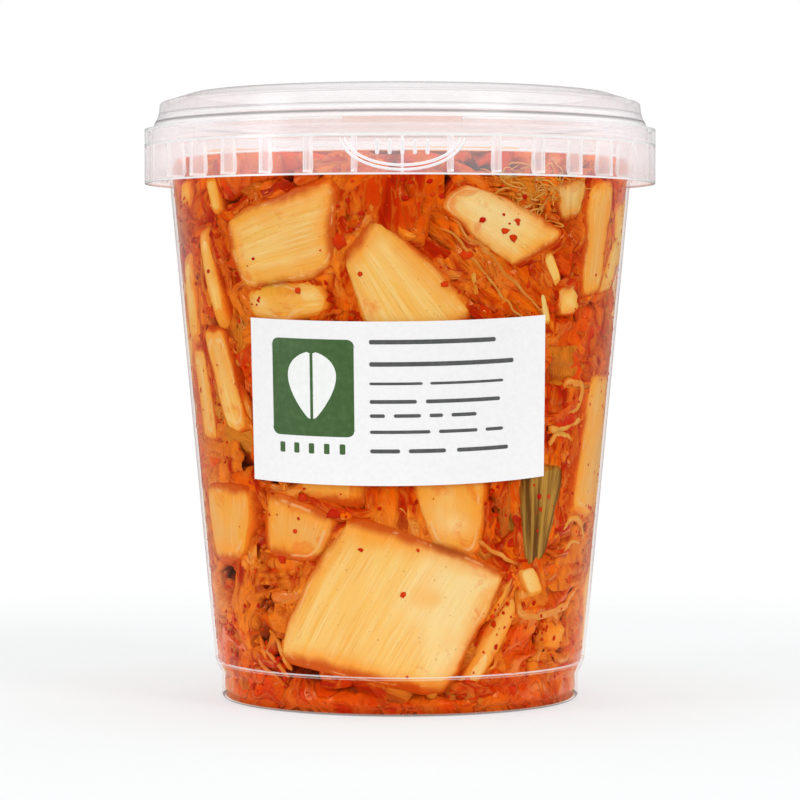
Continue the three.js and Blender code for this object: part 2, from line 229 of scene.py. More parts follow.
# The sky's strength where the camera sees it, where a gloss mirrors it, and as plain light
SKY_SEEN = 1.0
SKY_MIRRORED = 0.15
SKY_LIGHT = 0.5
sky = Finish("white_studio", "worlds")
seen_ray = sky.node("ShaderNodeLightPath", {}, {}, "Is Camera Ray")
mirrored_ray = sky.node("ShaderNodeLightPath", {}, {}, "Is Glossy Ray")
sky_unseen = sky.node("ShaderNodeMapRange", {}, {
    "Value": mirrored_ray, "To Min": SKY_LIGHT, "To Max": SKY_MIRRORED})
sky_strength = sky.node("ShaderNodeMapRange", {}, {
    "Value": seen_ray, "To Min": sky_unseen, "To Max": SKY_SEEN})
sky_shader = sky.node("ShaderNodeBackground", {}, {"Color": (1, 1, 1, 1), "Strength": sky_strength})
bpy.context.scene.world = sky.done(sky_shader, "ShaderNodeOutputWorld")

# The floor is solid under the tub and gone further out, where the sky shows in its place
FLOOR_HALF = 400
FLOOR_SOLID = 0.13
FLOOR_GONE = 0.32
floor_finish = Finish("white_floor")
floor_reach = floor_finish.node("ShaderNodeVectorMath", {"operation": "LENGTH"},
                                {0: floor_finish.place()}, "Value")
floor_white = floor_finish.node("ShaderNodeBsdfPrincipled", {}, {
    "Base Color": (0.325, 0.35, 0.355, 1), "Roughness": 0.8, "Specular IOR Level": 0.1,
    "Emission Color": (1, 1, 1, 1), "Emission Strength": 0.585})
floor_clear = floor_finish.node("ShaderNodeBsdfTransparent", {}, {"Color": (1, 1, 1, 1)})
floor_shader = floor_finish.node("ShaderNodeMixShader", {}, {
    0: floor_reach.above(FLOOR_SOLID, FLOOR_GONE), 1: floor_white, 2: floor_clear})
floor_corners = np.array([[[-1, -1, 0], [1, -1, 0]], [[-1, 1, 0], [1, 1, 0]]], float) * FLOOR_HALF
put("floor", [skin(floor_corners)], floor_finish.done(floor_shader))

# The tub is one thin injection moulding of clear polypropylene: a recessed base on a standing
# ring, a drafted wall, and a web at the rim that carries the collar. It is slightly milky, most
# where the wall is seen edge on.
FOOT_RADIUS = 41.35
FOOT_HEIGHT = 6.1
BASE_WALL_RADIUS = 42.85
BASE_WALL_HEIGHT = 9.0
DRAFT = 0.0939
WALL = 0.75
RECESS_RADIUS = 36.0
RECESS_HEIGHT = 0.8
FLOOR_TOP = 1.6
COLLAR_RADIUS = 59.0
COLLAR_WALL = 0.8
COLLAR_BOTTOM = 118.7
COLLAR_TOP = 131.1
WEB_BOTTOM = 127.0
WEB_TOP = 127.9
RIM_TOP = 132.4
SIDES = 240


def wall_radius(height):
    """Outer radius of the wall: the foot, then a straight flare, then the even draft."""
    drafted = BASE_WALL_RADIUS + DRAFT * (height - BASE_WALL_HEIGHT)
    flare = np.interp(height, [FOOT_HEIGHT, BASE_WALL_HEIGHT], [FOOT_RADIUS, BASE_WALL_RADIUS])
    return np.where(height > BASE_WALL_HEIGHT, drafted, flare)


def on_round(radius, azimuth, height):
    """Points at a radius and an azimuth in radians from -Y towards +X."""
    right, back = radius * np.sin(azimuth), -radius * np.cos(azimuth)
    return np.stack(np.broadcast_arrays(right, back, height), axis=-1)


def turned(profile):
    """A profile of (radius, height) rows turned about the upright axis."""
    profile = np.array(profile, float)
    azimuth = np.linspace(0, 2 * math.pi, SIDES, endpoint=False)[None, :]
    return skin(on_round(profile[:, :1], azimuth, profile[:, 1:]), wrap_columns=True)


def bend(radius, height, size, start, end, steps):
    """Points of an arc about (radius, height), from one angle to another in degrees."""
    angles = np.radians(np.linspace(start, end, steps))
    return list(zip(radius + size * np.cos(angles), height + size * np.sin(angles)))


def clear_plastic(name, milk, edge_milk, law, shade, lines, rings=()):
    """Clear plastic: a little milk head on and more edge on, by a power of the facing share. Edge on,
    its colour goes to shade, which is painted shade.

    Steps and rounded rims bend the light into thin lines, painted here: pale ones as highlights and
    grey ones as shade. Each line is a height, half a width, how far it covers what is behind, and
    its grey; a ring is the same by radius.
    """
    made = Finish(name)
    edge = made.node("ShaderNodeLayerWeight", {}, {"Blend": 0.5}, "Facing")
    flow = made.noise(made.place((1, 1, 0.25)), 160.0, 2.0)
    cover = (milk + edge_milk * edge ** law) * (0.75 + 0.5 * flow)
    # Edge on, the colour goes to shade: painted shade
    colour = made.blend(edge ** 2.5, srgb(246, 243, 245), shade)
    height = made.node("ShaderNodeSeparateXYZ", {}, {0: made.place((1000, 1000, 1000))}, "Z")
    flat = made.place((1000, 1000, 0))
    radius = made.node("ShaderNodeVectorMath", {"operation": "LENGTH"}, {0: flat}, "Value")
    marks = [(height, *line) for line in lines] + [(radius, *ring) for ring in rings]
    for measure, middle, half, share, grey in marks:
        # A pale line paints a highlight, a grey one a shade
        painted_line = (measure - middle).size().above(half, 0.3 * half)
        cover = cover + share * painted_line
        colour = made.blend(painted_line, colour, srgb(grey, grey, grey))
    ripple = made.bump(made.noise(made.place(), 60.0, 1.0), 0.0004, 0.25)
    white = made.node("ShaderNodeBsdfPrincipled", {}, {
        "Base Color": colour, "Roughness": 0.16, "IOR": 1.49, "Normal": ripple})
    clear = made.node("ShaderNodeBsdfTransparent", {}, {"Color": (1, 1, 1, 1)})
    return made.done(made.node("ShaderNodeMixShader", {}, {0: cover, 1: clear, 2: white}))


# The wall's pale lines at the flare, the web and the rim are painted highlights, its dark line at the foot a
# painted contact shadow, and its pink edge-on shade a painted reflection of the filling.
wall_plastic = clear_plastic("clear_wall", 0.0, 0.7, 7.0, srgb(240, 222, 214), [
    (0.4, 0.4, 0.7, 40), (8.9, 0.22, 0.5, 250), (8.4, 0.15, 0.25, 250), (127.9, 0.3, 0.5, 250),
    (132.2, 0.3, 0.3, 250)])
# The collar's pale lines at its foot, the tab's hinge and its top are painted highlights
collar_plastic = clear_plastic("clear_collar", 0.13, 0.4, 4.0, srgb(236, 230, 232), [
    (118.9, 0.3, 0.7, 250), (127.3, 0.45, 0.6, 250), (130.9, 0.3, 0.5, 250)])


def dress(piece, slot, node="tub"):
    """The piece rides on the one body and stands for a node, whose imported part it hides.

    A piece in a plastic slot is clear plastic: it lets the light through to the filling, so it
    throws no shadow.
    """
    piece.visible_shadow = "plastic" not in slot
    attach(piece, "root")
    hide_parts(node)


rim = float(wall_radius(WEB_TOP)) + 0.4
wall_profile = [
    (0, RECESS_HEIGHT), (RECESS_RADIUS - 0.6, RECESS_HEIGHT),
    *bend(RECESS_RADIUS - 0.3, RECESS_HEIGHT - 0.3, 0.3, 90, 0, 3),
    *bend(RECESS_RADIUS + 0.5, 0.5, 0.5, 180, 270, 4),
    *bend(FOOT_RADIUS - 1.2, 1.2, 1.2, -90, 0, 6), (FOOT_RADIUS, FOOT_HEIGHT),
    (FOOT_RADIUS + 0.25, FOOT_HEIGHT + 0.3), (FOOT_RADIUS + 0.95, FOOT_HEIGHT + 1.5),
    (BASE_WALL_RADIUS - 0.1, BASE_WALL_HEIGHT - 0.4), (BASE_WALL_RADIUS, BASE_WALL_HEIGHT),
    (float(wall_radius(WEB_BOTTOM)), WEB_BOTTOM), (COLLAR_RADIUS - 0.7, WEB_BOTTOM),
    (COLLAR_RADIUS - 0.7, WEB_TOP), (rim, WEB_TOP), (rim, RIM_TOP - 1.5),
    *bend(rim + 0.3, RIM_TOP - 0.8, 0.4, -60, 60, 5),
    *bend(rim - 0.3, RIM_TOP - 0.3, 0.3, 0, 90, 4),
    *bend(float(wall_radius(RIM_TOP)) - WALL + 0.3, RIM_TOP - 0.3, 0.3, 90, 180, 4),
    (BASE_WALL_RADIUS - WALL, BASE_WALL_HEIGHT), (FOOT_RADIUS - WALL, FOOT_HEIGHT),
    *bend(FOOT_RADIUS - WALL - 1, FLOOR_TOP + 1, 1, 0, -90, 5), (0, FLOOR_TOP),
]
tub_wall = put("tub_wall", [turned(wall_profile)], wall_plastic, sharp=30)
dress(tub_wall, "tub_plastic")

# The fins are thin upright plates of the same moulding, evenly round the rim, that tie the
# collar to the wall and show through it as pale bars.
FIN_COUNT = 34
FIN_THICKNESS = 0.6
FIN_BOTTOM = 119.3
FIN_TURN = 0.5
FIN_HIGHLIGHT_RADIUS = 54.3


def fin(azimuth):
    """A plate from the wall to the collar, turned to its azimuth.

    Its rows are the middle and the outline of one face, then the outline and the middle of the
    other, so that one skin closes it.
    """
    inner, outer = float(wall_radius(FIN_BOTTOM)) + 0.6, COLLAR_RADIUS - 0.6
    top = WEB_BOTTOM + 0.3
    outline = np.array([(inner, FIN_BOTTOM + 1.4), (inner + 0.6, FIN_BOTTOM), (outer, FIN_BOTTOM),
                        (outer, top), (inner + 0.6, top)], float)
    middle = np.broadcast_to(outline.mean(axis=0), outline.shape)
    rings = np.stack([middle, outline, outline, middle])
    sides = np.broadcast_to(np.array([[-0.5], [-0.5], [0.5], [0.5]]) * FIN_THICKNESS, rings.shape[:2])
    grid = np.stack([sides, -rings[..., 0], rings[..., 1]], axis=-1)
    turn = np.array([[math.cos(azimuth), math.sin(azimuth), 0],
                     [-math.sin(azimuth), math.cos(azimuth), 0], [0, 0, 1]])
    return skin(grid @ turn, wrap_columns=True)


fin_azimuths = np.radians(FIN_TURN + 360 / FIN_COUNT * np.arange(FIN_COUNT))
# The pale lines at the fins' foot, where they meet the collar and across their middle are painted highlights
fin_plastic = clear_plastic("clear_fin", 0.3, 0.3, 2.0, srgb(236, 226, 229),
                            [(FIN_BOTTOM + 0.3, 0.4, 0.5, 250)],
                            [(COLLAR_RADIUS - 0.9, 0.4, 0.5, 250), (FIN_HIGHLIGHT_RADIUS, 0.5, 0.5, 250)])
tub_fins = put("tub_fins", [fin(azimuth) for azimuth in fin_azimuths], fin_plastic, sharp=30)
dress(tub_fins, "tub_plastic")

# The collar is a thin band round the lid's edge. At the front a tab is cut free of it along a
# half ellipse, but for small bridges that break when it is first lifted.
TAB_MIDDLE = 0.5
TAB_HALF_WIDTH = 13.1
TAB_DROP = 7.2
TAB_HINGE = 127.3
TAB_TOP = 129.9
TAB_SLOT = 0.2
TAB_FRAME = 16.0
TAB_BRIDGES = (181, 219, 238, 302, 321, 359)
BRIDGE_HALF = 1.5
STRIP_COLUMNS = 200
EDGE_ROUND = 0.15
EDGE_ANGLE = 50
TAB_RIM = 0.65
TAB_RIM_PROUD = 0.5


def half_ellipse(grow, angles):
    """Points of the half ellipse that hangs from the hinge line, grown outwards by grow."""
    return np.stack([(TAB_HALF_WIDTH + grow) * np.cos(angles),
                     TAB_HINGE + (TAB_DROP + grow) * np.sin(angles)], axis=-1)


def collar_sheet():
    """The collar unrolled as (arc length, height): a tab, a frame round it and the long strip.

    The tab's columns run from the hinge line down to the inner edge of the slot. The frame's
    run on from the outer edge along rays to a rectangle, and the strip goes on from its sides.
    """
    drop = TAB_HINGE - COLLAR_BOTTOM
    corner = math.degrees(math.atan2(drop / TAB_DROP, TAB_FRAME / TAB_HALF_WIDTH))
    marks = [bridge + side for bridge in TAB_BRIDGES for side in (-BRIDGE_HALF, BRIDGE_HALF)]
    angles = np.unique(np.concatenate([np.arange(184, 357, 2.0), marks[1:-1],
                                       [180, 180 + corner, 360 - corner, 360]]))
    turn = np.radians(angles)
    outer = half_ellipse(0, turn)
    inner = half_ellipse(-TAB_SLOT, turn)
    reach = np.minimum(TAB_FRAME / np.maximum(np.abs(outer[:, 0]), 1e-6),
                       drop / np.maximum(TAB_HINGE - outer[:, 1], 1e-6))
    hinge = np.array([0, TAB_HINGE])
    edge = hinge + (outer - hinge) * reach[:, None]
    top = np.stack([inner[:, 0], np.full(len(turn), TAB_HINGE)], axis=-1)
    steps = np.linspace(0, 1, 8)[:, None, None]
    plate = on_collar(inner * steps + top * (1 - steps))
    around = on_collar(edge * steps + outer * (1 - steps))
    bridges = [on_collar(np.stack([inner[keep], outer[keep]])) for keep in
               (np.abs(angles - bridge) <= BRIDGE_HALF + 0.1 for bridge in TAB_BRIDGES)]
    levels = np.array([TAB_HINGE, TAB_HINGE + 1.1, TAB_TOP, COLLAR_TOP])
    slit = TAB_HALF_WIDTH - TAB_SLOT
    above = [on_collar(flat_grid(inner[:, 0], levels[:3]))]
    for side in (-1, 1):
        near, far = side * TAB_HALF_WIDTH, side * TAB_FRAME
        above.append(on_collar(flat_grid(np.sort([side * slit, near]), levels[:2])))
        above.append(on_collar(flat_grid(np.sort([near, far]), levels)))
    at_side = np.abs(np.abs(edge[:, 0]) - TAB_FRAME) < 1e-6
    heights = np.unique(np.round(np.concatenate([edge[at_side, 1], levels]), 6))
    strip_end = 2 * math.pi * COLLAR_RADIUS - TAB_FRAME
    strip = on_collar(flat_grid(np.linspace(TAB_FRAME, strip_end, STRIP_COLUMNS), heights))
    return [plate, around, *bridges, *above, strip]


def flat_grid(columns, heights):
    """A flat grid of (arc length, height) points over sorted columns and rising heights."""
    return np.stack(np.meshgrid(columns, heights), axis=-1)


def on_collar(points):
    """A flat (arc length, height) grid wrapped on the collar's outer radius, as a skin.

    Rows that run the wrong way for the faces to point outwards are taken in turned order.
    """
    right = np.diff(points, axis=1).mean(axis=(0, 1))
    up = np.diff(points, axis=0).mean(axis=(0, 1))
    if right[0] * up[1] < right[1] * up[0]:
        points = points[::-1]
    azimuth = (points[..., 0] + TAB_MIDDLE) / COLLAR_RADIUS
    return skin(on_round(COLLAR_RADIUS, azimuth, points[..., 1]))


collar = put("tub_collar", collar_sheet(), collar_plastic)
solidify = collar.modifiers.new("wall", "SOLIDIFY")
solidify.thickness = COLLAR_WALL / 1000
solidify.offset = -1
rounding = collar.modifiers.new("edge", "BEVEL")
rounding.width = EDGE_ROUND / 1000
rounding.segments = 2
rounding.limit_method = "ANGLE"
rounding.angle_limit = math.radians(EDGE_ANGLE)
dress(collar, "tub_plastic")

# A raised bead follows the tab's slot on either side, and short upright grip bars stand on the
# tab where the thumb presses.
GRIP_BARS = 5
GRIP_PITCH = 2.7
GRIP_HEIGHT = 3.4
GRIP_MIDDLE = 124.6
GRIP_WIDTH = 0.9
GRIP_PROUD = 0.3


def spots(*coordinates):
    """Points from their coordinates, each an array or a number."""
    return np.stack(np.broadcast_arrays(*coordinates), axis=-1)


def bead(path, width, proud):
    """A rounded rib along a path of (arc length, height) points on the collar.

    Its section is a superellipse across the path, and it tapers to nothing at both ends.
    """
    heading = np.gradient(path, axis=0)
    heading /= np.linalg.norm(heading, axis=1, keepdims=True)
    beside = np.stack([heading[:, 1], -heading[:, 0]], axis=-1)[:, None, :]
    turn = np.linspace(0, 2 * math.pi, 16, endpoint=False)[None, :, None]
    share = np.linspace(-1, 1, len(path))[:, None, None]
    taper = (1 - share ** 12) ** 0.5
    across = np.sign(np.cos(turn)) * np.abs(np.cos(turn)) ** 0.6 * width / 2 * taper
    out = np.sign(np.sin(turn)) * np.abs(np.sin(turn)) ** 0.6 * proud * taper
    spot = path[:, None, :] + beside * across
    azimuth = (spot[..., 0] + TAB_MIDDLE) / COLLAR_RADIUS
    return skin(on_round(COLLAR_RADIUS + out[..., 0], azimuth, spot[..., 1]), wrap_columns=True)


rim_angles = np.radians(np.linspace(356, 184, 90))
rims = [bead(half_ellipse(grow, rim_angles), TAB_RIM, TAB_RIM_PROUD)
        for grow in (TAB_RIM / 2 + 0.05, -TAB_SLOT - TAB_RIM / 2 - 0.05)]
grip_levels = np.linspace(GRIP_MIDDLE + GRIP_HEIGHT / 2, GRIP_MIDDLE - GRIP_HEIGHT / 2, 16)
grip_places = (np.arange(GRIP_BARS) - (GRIP_BARS - 1) / 2) * GRIP_PITCH
grips = [bead(spots(place, grip_levels), GRIP_WIDTH, GRIP_PROUD) for place in grip_places]
# The beads and grip bars are mostly white cover: a painted highlight for the bright lines that their round
# sides make
bead_plastic = clear_plastic("clear_bead", 0.75, 0.2, 2.0, srgb(250, 246, 247), [])
tab_bead = put("tab_bead", [*rims, *grips], bead_plastic)
dress(tab_bead, "tub_plastic")

# The lid is one clear moulding pressed on from above: a sunken panel with a ridge round it for
# stacking, a side wall with a snap flange inside the collar, and a plug ring inside the tub.
FLANGE_RADIUS = 57.3
FLANGE_BOTTOM = 128.2
LID_WALL_RADIUS = 55.5
STACK_RADIUS = 46.6
PANEL_TOP = 133.8
LID_TOP = 139.3
PLUG_RADIUS = 52.6
PLUG_BOTTOM = 124.2
LID_WALL = 0.8

lid_under = PANEL_TOP - LID_WALL
lid_profile = [
    (0, lid_under), (STACK_RADIUS - 1.4, lid_under),
    *bend(STACK_RADIUS - 1.2, lid_under + 1.1, 1.1, -80, -20, 4),
    (STACK_RADIUS + 0.9, LID_TOP - 1.6), *bend(STACK_RADIUS + 1.9, LID_TOP - 1.8, 1.0, 165, 95, 5),
    (PLUG_RADIUS - LID_WALL - 0.2, LID_TOP - 1.9), (PLUG_RADIUS - LID_WALL - 0.1, PLUG_BOTTOM + 1),
    *bend(PLUG_RADIUS - 0.4, PLUG_BOTTOM + 0.4, 0.4, 180, 330, 6), (PLUG_RADIUS, PLUG_BOTTOM + 1),
    (PLUG_RADIUS + 0.3, RIM_TOP), (PLUG_RADIUS + 0.2, LID_TOP - 2.4),
    (LID_WALL_RADIUS - LID_WALL, LID_TOP - 3.3), (LID_WALL_RADIUS - 0.35, RIM_TOP + 1.3),
    (FLANGE_RADIUS - 1.2, COLLAR_TOP + 0.2),
    *bend(FLANGE_RADIUS - 1.8, COLLAR_TOP - 0.9, 0.3, 90, 270, 5),
    (FLANGE_RADIUS - LID_WALL, FLANGE_BOTTOM + 1.1), (FLANGE_RADIUS - LID_WALL, FLANGE_BOTTOM + 0.2),
    *bend(FLANGE_RADIUS - 0.4, FLANGE_BOTTOM + 0.4, 0.4, 200, 340, 5), (FLANGE_RADIUS, COLLAR_TOP),
    (FLANGE_RADIUS - 0.1, COLLAR_TOP + 0.3), (LID_WALL_RADIUS + 0.4, RIM_TOP + 1.6),
    (LID_WALL_RADIUS + 0.3, RIM_TOP + 1.9), (LID_WALL_RADIUS, LID_TOP - 2.9),
    *bend(LID_WALL_RADIUS - 0.7, LID_TOP - 2.7, 0.7, 10, 70, 4), (STACK_RADIUS + 2.1, LID_TOP - 0.1),
    *bend(STACK_RADIUS + 1.3, LID_TOP - 1.2, 1.2, 70, 170, 6), (STACK_RADIUS - 0.8, PANEL_TOP + 1.0),
    *bend(STACK_RADIUS - 1.7, PANEL_TOP + 0.9, 0.9, -10, -80, 4),
    (STACK_RADIUS - 2.2, PANEL_TOP), (0, PANEL_TOP),
]
# The lid's pale lines are painted highlights and its grey lines painted shade, where its steps and rims bend
# the light
lid_plastic = clear_plastic("clear_lid", 0.13, 0.5, 2.0, srgb(243, 240, 243), [
    (124.5, 0.35, 0.6, 250), (131.8, 0.35, 0.5, 250), (132.6, 0.4, 0.45, 160), (133.6, 0.5, 0.4, 250),
    (134.4, 0.15, 0.35, 190), (137.6, 0.15, 0.3, 200), (139.1, 0.2, 0.3, 220)])
lid = put("lid_shell", [turned(lid_profile)], lid_plastic, sharp=30)
dress(lid, "lid_plastic", "lid")

# The label is a plain white paper rectangle stuck on the wall by hand, a little crooked. Laid
# flat, it is straight, so on the tapered wall its ends ride up. It is printed in green and grey.
LABEL_WIDTH = 70.0
LABEL_HEIGHT = 36.0
LABEL_MIDDLE = 69.3
LABEL_LEAN = math.radians(-0.5)
LABEL_AZIMUTH = math.radians(-0.5)
PAPER = 0.15
PAPER_GAP = 0.1
INK = 0.02

slope = math.atan(DRAFT)
apex = float(wall_radius(LABEL_MIDDLE)) / math.sin(slope)


def on_label(across, up, lift):
    """Points of the flat label wrapped on the wall's cone.

    On the unrolled cone a point is a distance and an angle from the apex; the azimuth is that
    angle over the sine of the slope. lift is the height above the wall.
    """
    p = across * math.cos(LABEL_LEAN) + up * math.sin(LABEL_LEAN)
    q = up * math.cos(LABEL_LEAN) - across * math.sin(LABEL_LEAN)
    distance = np.hypot(p, apex + q)
    azimuth = np.arctan2(p, apex + q) / math.sin(slope) + LABEL_AZIMUTH
    height = LABEL_MIDDLE + (distance - apex) * math.cos(slope)
    return on_round(distance * math.sin(slope) + lift, azimuth, height)


def closed_sheet(across, up, low, high):
    """Two faces over a grid and the edge between them, as one closed skin.

    Rows run up the front face and back down the rear one; the columns at both ends close on
    each other because front and rear meet there in a fold as thick as the paper.
    """
    front = on_label(across, up, high)
    rear = on_label(across, up, low)
    loop = np.concatenate([front, rear[::-1]])
    points, quads = skin(loop, wrap_rows=True)
    rows, columns = loop.shape[:2]
    half = rows // 2
    i = np.arange(half - 1)
    left = np.stack([i, i + 1, rows - 2 - i, rows - 1 - i], axis=-1) * columns
    right = left[:, ::-1] + columns - 1
    return points, np.concatenate([quads, left, right])


label_across, label_up = np.meshgrid(np.linspace(-LABEL_WIDTH / 2, LABEL_WIDTH / 2, 90),
                                     np.linspace(-LABEL_HEIGHT / 2, LABEL_HEIGHT / 2, 24))
paper = Finish("label_paper")
pulp = paper.noise(paper.place(), 900.0, 4.0)
paper_shader = paper.node("ShaderNodeBsdfPrincipled", {}, {
    "Base Color": paper.blend(pulp.above(0.3, 0.75), srgb(252, 251, 251), srgb(247, 246, 247)),
    "Roughness": 0.55, "Specular IOR Level": 0.3, "Normal": paper.bump(pulp, 0.00006, 0.35)})
sheet = closed_sheet(label_across, label_up, PAPER_GAP - 0.08, PAPER_GAP + PAPER)
label = put("label_sheet", [sheet], paper.done(paper_shader), sharp=40)
dress(label, "label_paper", "label")

# The print is ink on the paper, laid down in one pass of green and one of grey: a green field
# with a plain leaf left white in it, a row of small green bars below, and rows of grey bars.
FIELD_MIDDLE = (-19.3, 3.3)
FIELD_SIZE = (20.0, 21.6)
FIELD_CORNER = 1.9
GREEN_MARKS = 5
GREEN_MARK_PITCH = 3.6
GREEN_MARK_ROW = (-19.5, -10.1)
GREEN_MARK_SIZE = (1.5, 2.3)
GREEN_MARK_CORNER = 0.4
LEAF_FOOT = -3.9
LEAF_LENGTH = 15.0
LEAF_HALF_WIDTH = 5.4


def printed(x, y, width, height, corner):
    """A round-cornered field of ink on the label, as a grid of columns from left to right.

    (x, y) is its middle in mm from the label's. Each column is as high as the outline there,
    which is a rectangle with quarter circles, and its edges are sunk into the paper.
    """
    columns = np.linspace(-width / 2, width / 2, max(8, int(width / 0.5)))[None, :]
    inset = np.maximum(np.abs(columns) - (width / 2 - corner), 0)
    half = height / 2 - corner + np.sqrt(np.maximum(corner ** 2 - inset ** 2, 0))
    rows = np.array([-1, -0.98, -0.5, 0, 0.5, 0.98, 1])[:, None]
    lift = np.where(np.abs(rows) == 1, -INK, INK) * np.where(np.abs(columns) < width / 2, 1, -1)
    return skin(on_label(x + columns + 0 * rows, y + rows * half, PAPER_GAP + PAPER + lift))


def ink(name, colour):
    """Matt ink of one colour, a little thinner where the paper's grain stands up."""
    made = Finish(name)
    grain = made.noise(made.place(), 700.0, 3.0)
    lighter = tuple(min(1, 1.25 * share + 0.01) for share in colour[:3]) + (1,)
    shader = made.node("ShaderNodeBsdfPrincipled", {}, {
        "Base Color": made.blend(grain.above(0.35, 0.8), colour, lighter),
        "Roughness": 0.5, "Specular IOR Level": 0.3, "Normal": made.bump(grain, 0.00004, 0.3)})
    return made.done(shader)


green_field = printed(*FIELD_MIDDLE, *FIELD_SIZE, FIELD_CORNER)
mark_places = GREEN_MARK_ROW[0] + GREEN_MARK_PITCH * (np.arange(GREEN_MARKS) - (GREEN_MARKS - 1) / 2)
green_marks = [printed(place, GREEN_MARK_ROW[1], *GREEN_MARK_SIZE, GREEN_MARK_CORNER)
               for place in mark_places]
label_green = put("label_green", [green_field, *green_marks], ink("green_ink", srgb(66, 99, 51)))
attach(label_green, "root")

# Each row of grey bars: its height, its thickness and the ends of its bars, in mm from the
# label's middle
BARS_LEFT = -6.4
BAR_ROWS = [
    (13.5, 1.0, [(BARS_LEFT, 22.2)]),
    (8.65, 1.0, [(BARS_LEFT, 26.6)]),
    (4.4, 0.6, [(BARS_LEFT, 5.6), (6.8, 24.0)]),
    (0.45, 0.85, [(BARS_LEFT, 4.3), (5.8, 23.2)]),
    (-2.65, 0.8, [(BARS_LEFT, -2.6), (-1.2, 5.2), (6.6, 10.0), (11.4, 17.6)]),
    (-6.2, 0.75, [(BARS_LEFT, 7.2), (8.6, 17.8), (19.2, 24.0)]),
    (-10.4, 0.9, [(BARS_LEFT, 0.6), (2.0, 10.6), (12.6, 25.2)]),
]
bars = [printed((left + right) / 2, up, right - left, thick, 0.45 * thick)
        for up, thick, spans in BAR_ROWS for left, right in spans]
label_grey = put("label_grey", bars, ink("grey_ink", srgb(84, 86, 84)))
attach(label_grey, "root")


def leaf_half(side):
    """Half of a plain leaf: a sine bulge beside a straight midrib, tapering to both ends."""
    share = np.linspace(0.02, 0.98, 24)[:, None]
    bulge = LEAF_HALF_WIDTH * np.sin(math.pi * share) ** 0.75 * np.linspace(0, 1, 6)[None, :]
    across = FIELD_MIDDLE[0] + side * (0.35 + bulge)
    up = LEAF_FOOT + LEAF_LENGTH * share + 0.42 * bulge
    grid = on_label(across, np.broadcast_to(up, across.shape), PAPER_GAP + PAPER + 2 * INK)
    return skin(grid if side > 0 else grid[:, ::-1])


label_white = put("label_white", [leaf_half(1), leaf_half(-1)], ink("white_ink", srgb(246, 248, 244)))
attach(label_white, "root")

# The filling is napa cabbage, cut and packed tight in red chili brine. The largest cuts are the
# thick pale ribs of the leaves: smooth plates with long fibres, flat where they press on the
# wall and rounded at their rims, which are painted orange to dark where they fall back: partly
# brine stain, partly painted shade.
FILL_TOP = 124.2
INTO_WALL = 0.08
NARROW_CUT = 9
CREAM = srgb(253, 206, 124)
STRAW = srgb(252, 190, 90)
AMBER = srgb(234, 138, 34)
# The last two colours are painted shade with the brine's red: the red for shreds that lie deep, the dark for
# stems and leaves that lie deep behind the wall
RED_SHADE = srgb(196, 78, 18)
DEEP_SHADE = srgb(126, 36, 2)


def fill_radius(height):
    """Inner radius of the tub, or of the plug ring above its lower edge."""
    inner = wall_radius(height) - WALL
    floor_round = np.interp(height, [FLOOR_TOP, FLOOR_TOP + 0.4, FLOOR_TOP + 1], [39.6, 40.4, 40.6])
    inner = np.where(height < FLOOR_TOP + 1, floor_round, inner)
    plug = PLUG_RADIUS - LID_WALL - 0.15
    return np.interp(height, [PLUG_BOTTOM - 1.2, PLUG_BOTTOM - 0.2], [0, 1]) * (plug - inner) + inner


def clouds(points, size, seed):
    """Smooth noise from -1 to 1 at points: random numbers on a lattice with cells of a size.

    A place between corners takes their numbers blended by a smooth step. A corner's number is
    drawn from the table by its three whole coordinates, each times a large prime.
    """
    table = np.random.default_rng(seed).uniform(-1, 1, 4096)
    cell = points / size
    low = np.floor(cell).astype(np.int64)
    part = cell - low
    part = part * part * (3 - 2 * part)
    total = 0
    for corner in np.ndindex(2, 2, 2):
        key = low + corner
        mixed = (key[..., 0] * 73856093) ^ (key[..., 1] * 19349663) ^ (key[..., 2] * 83492791)
        weight = np.prod(np.where(np.array(corner) == 1, part, 1 - part), axis=-1)
        total = total + table[mixed % 4096] * weight
    return total


def section(rows, columns, square, crisp, way=1):
    """Shares along, across and out of a plate whose section is a superellipse.

    Across, columns go by the cosine from one edge to the other over the front, then back
    behind. Its thickness is the root of 1 less the share across to the power crisp, and it
    thins to a line at both ends in the same way, by the power square. way turns the faces over.
    """
    s = np.sin(np.linspace(-math.pi / 2, math.pi / 2, rows))[:, None]
    turn = way * 2 * math.pi * np.arange(columns)[None, :] / columns
    t = -way * np.cos(turn)
    face = np.sign(np.sin(turn)) * np.clip(1 - np.abs(t) ** crisp, 0, 1) ** 0.5
    return s, t, face * way * np.clip(1 - np.abs(s) ** square, 0, 1) ** 0.5


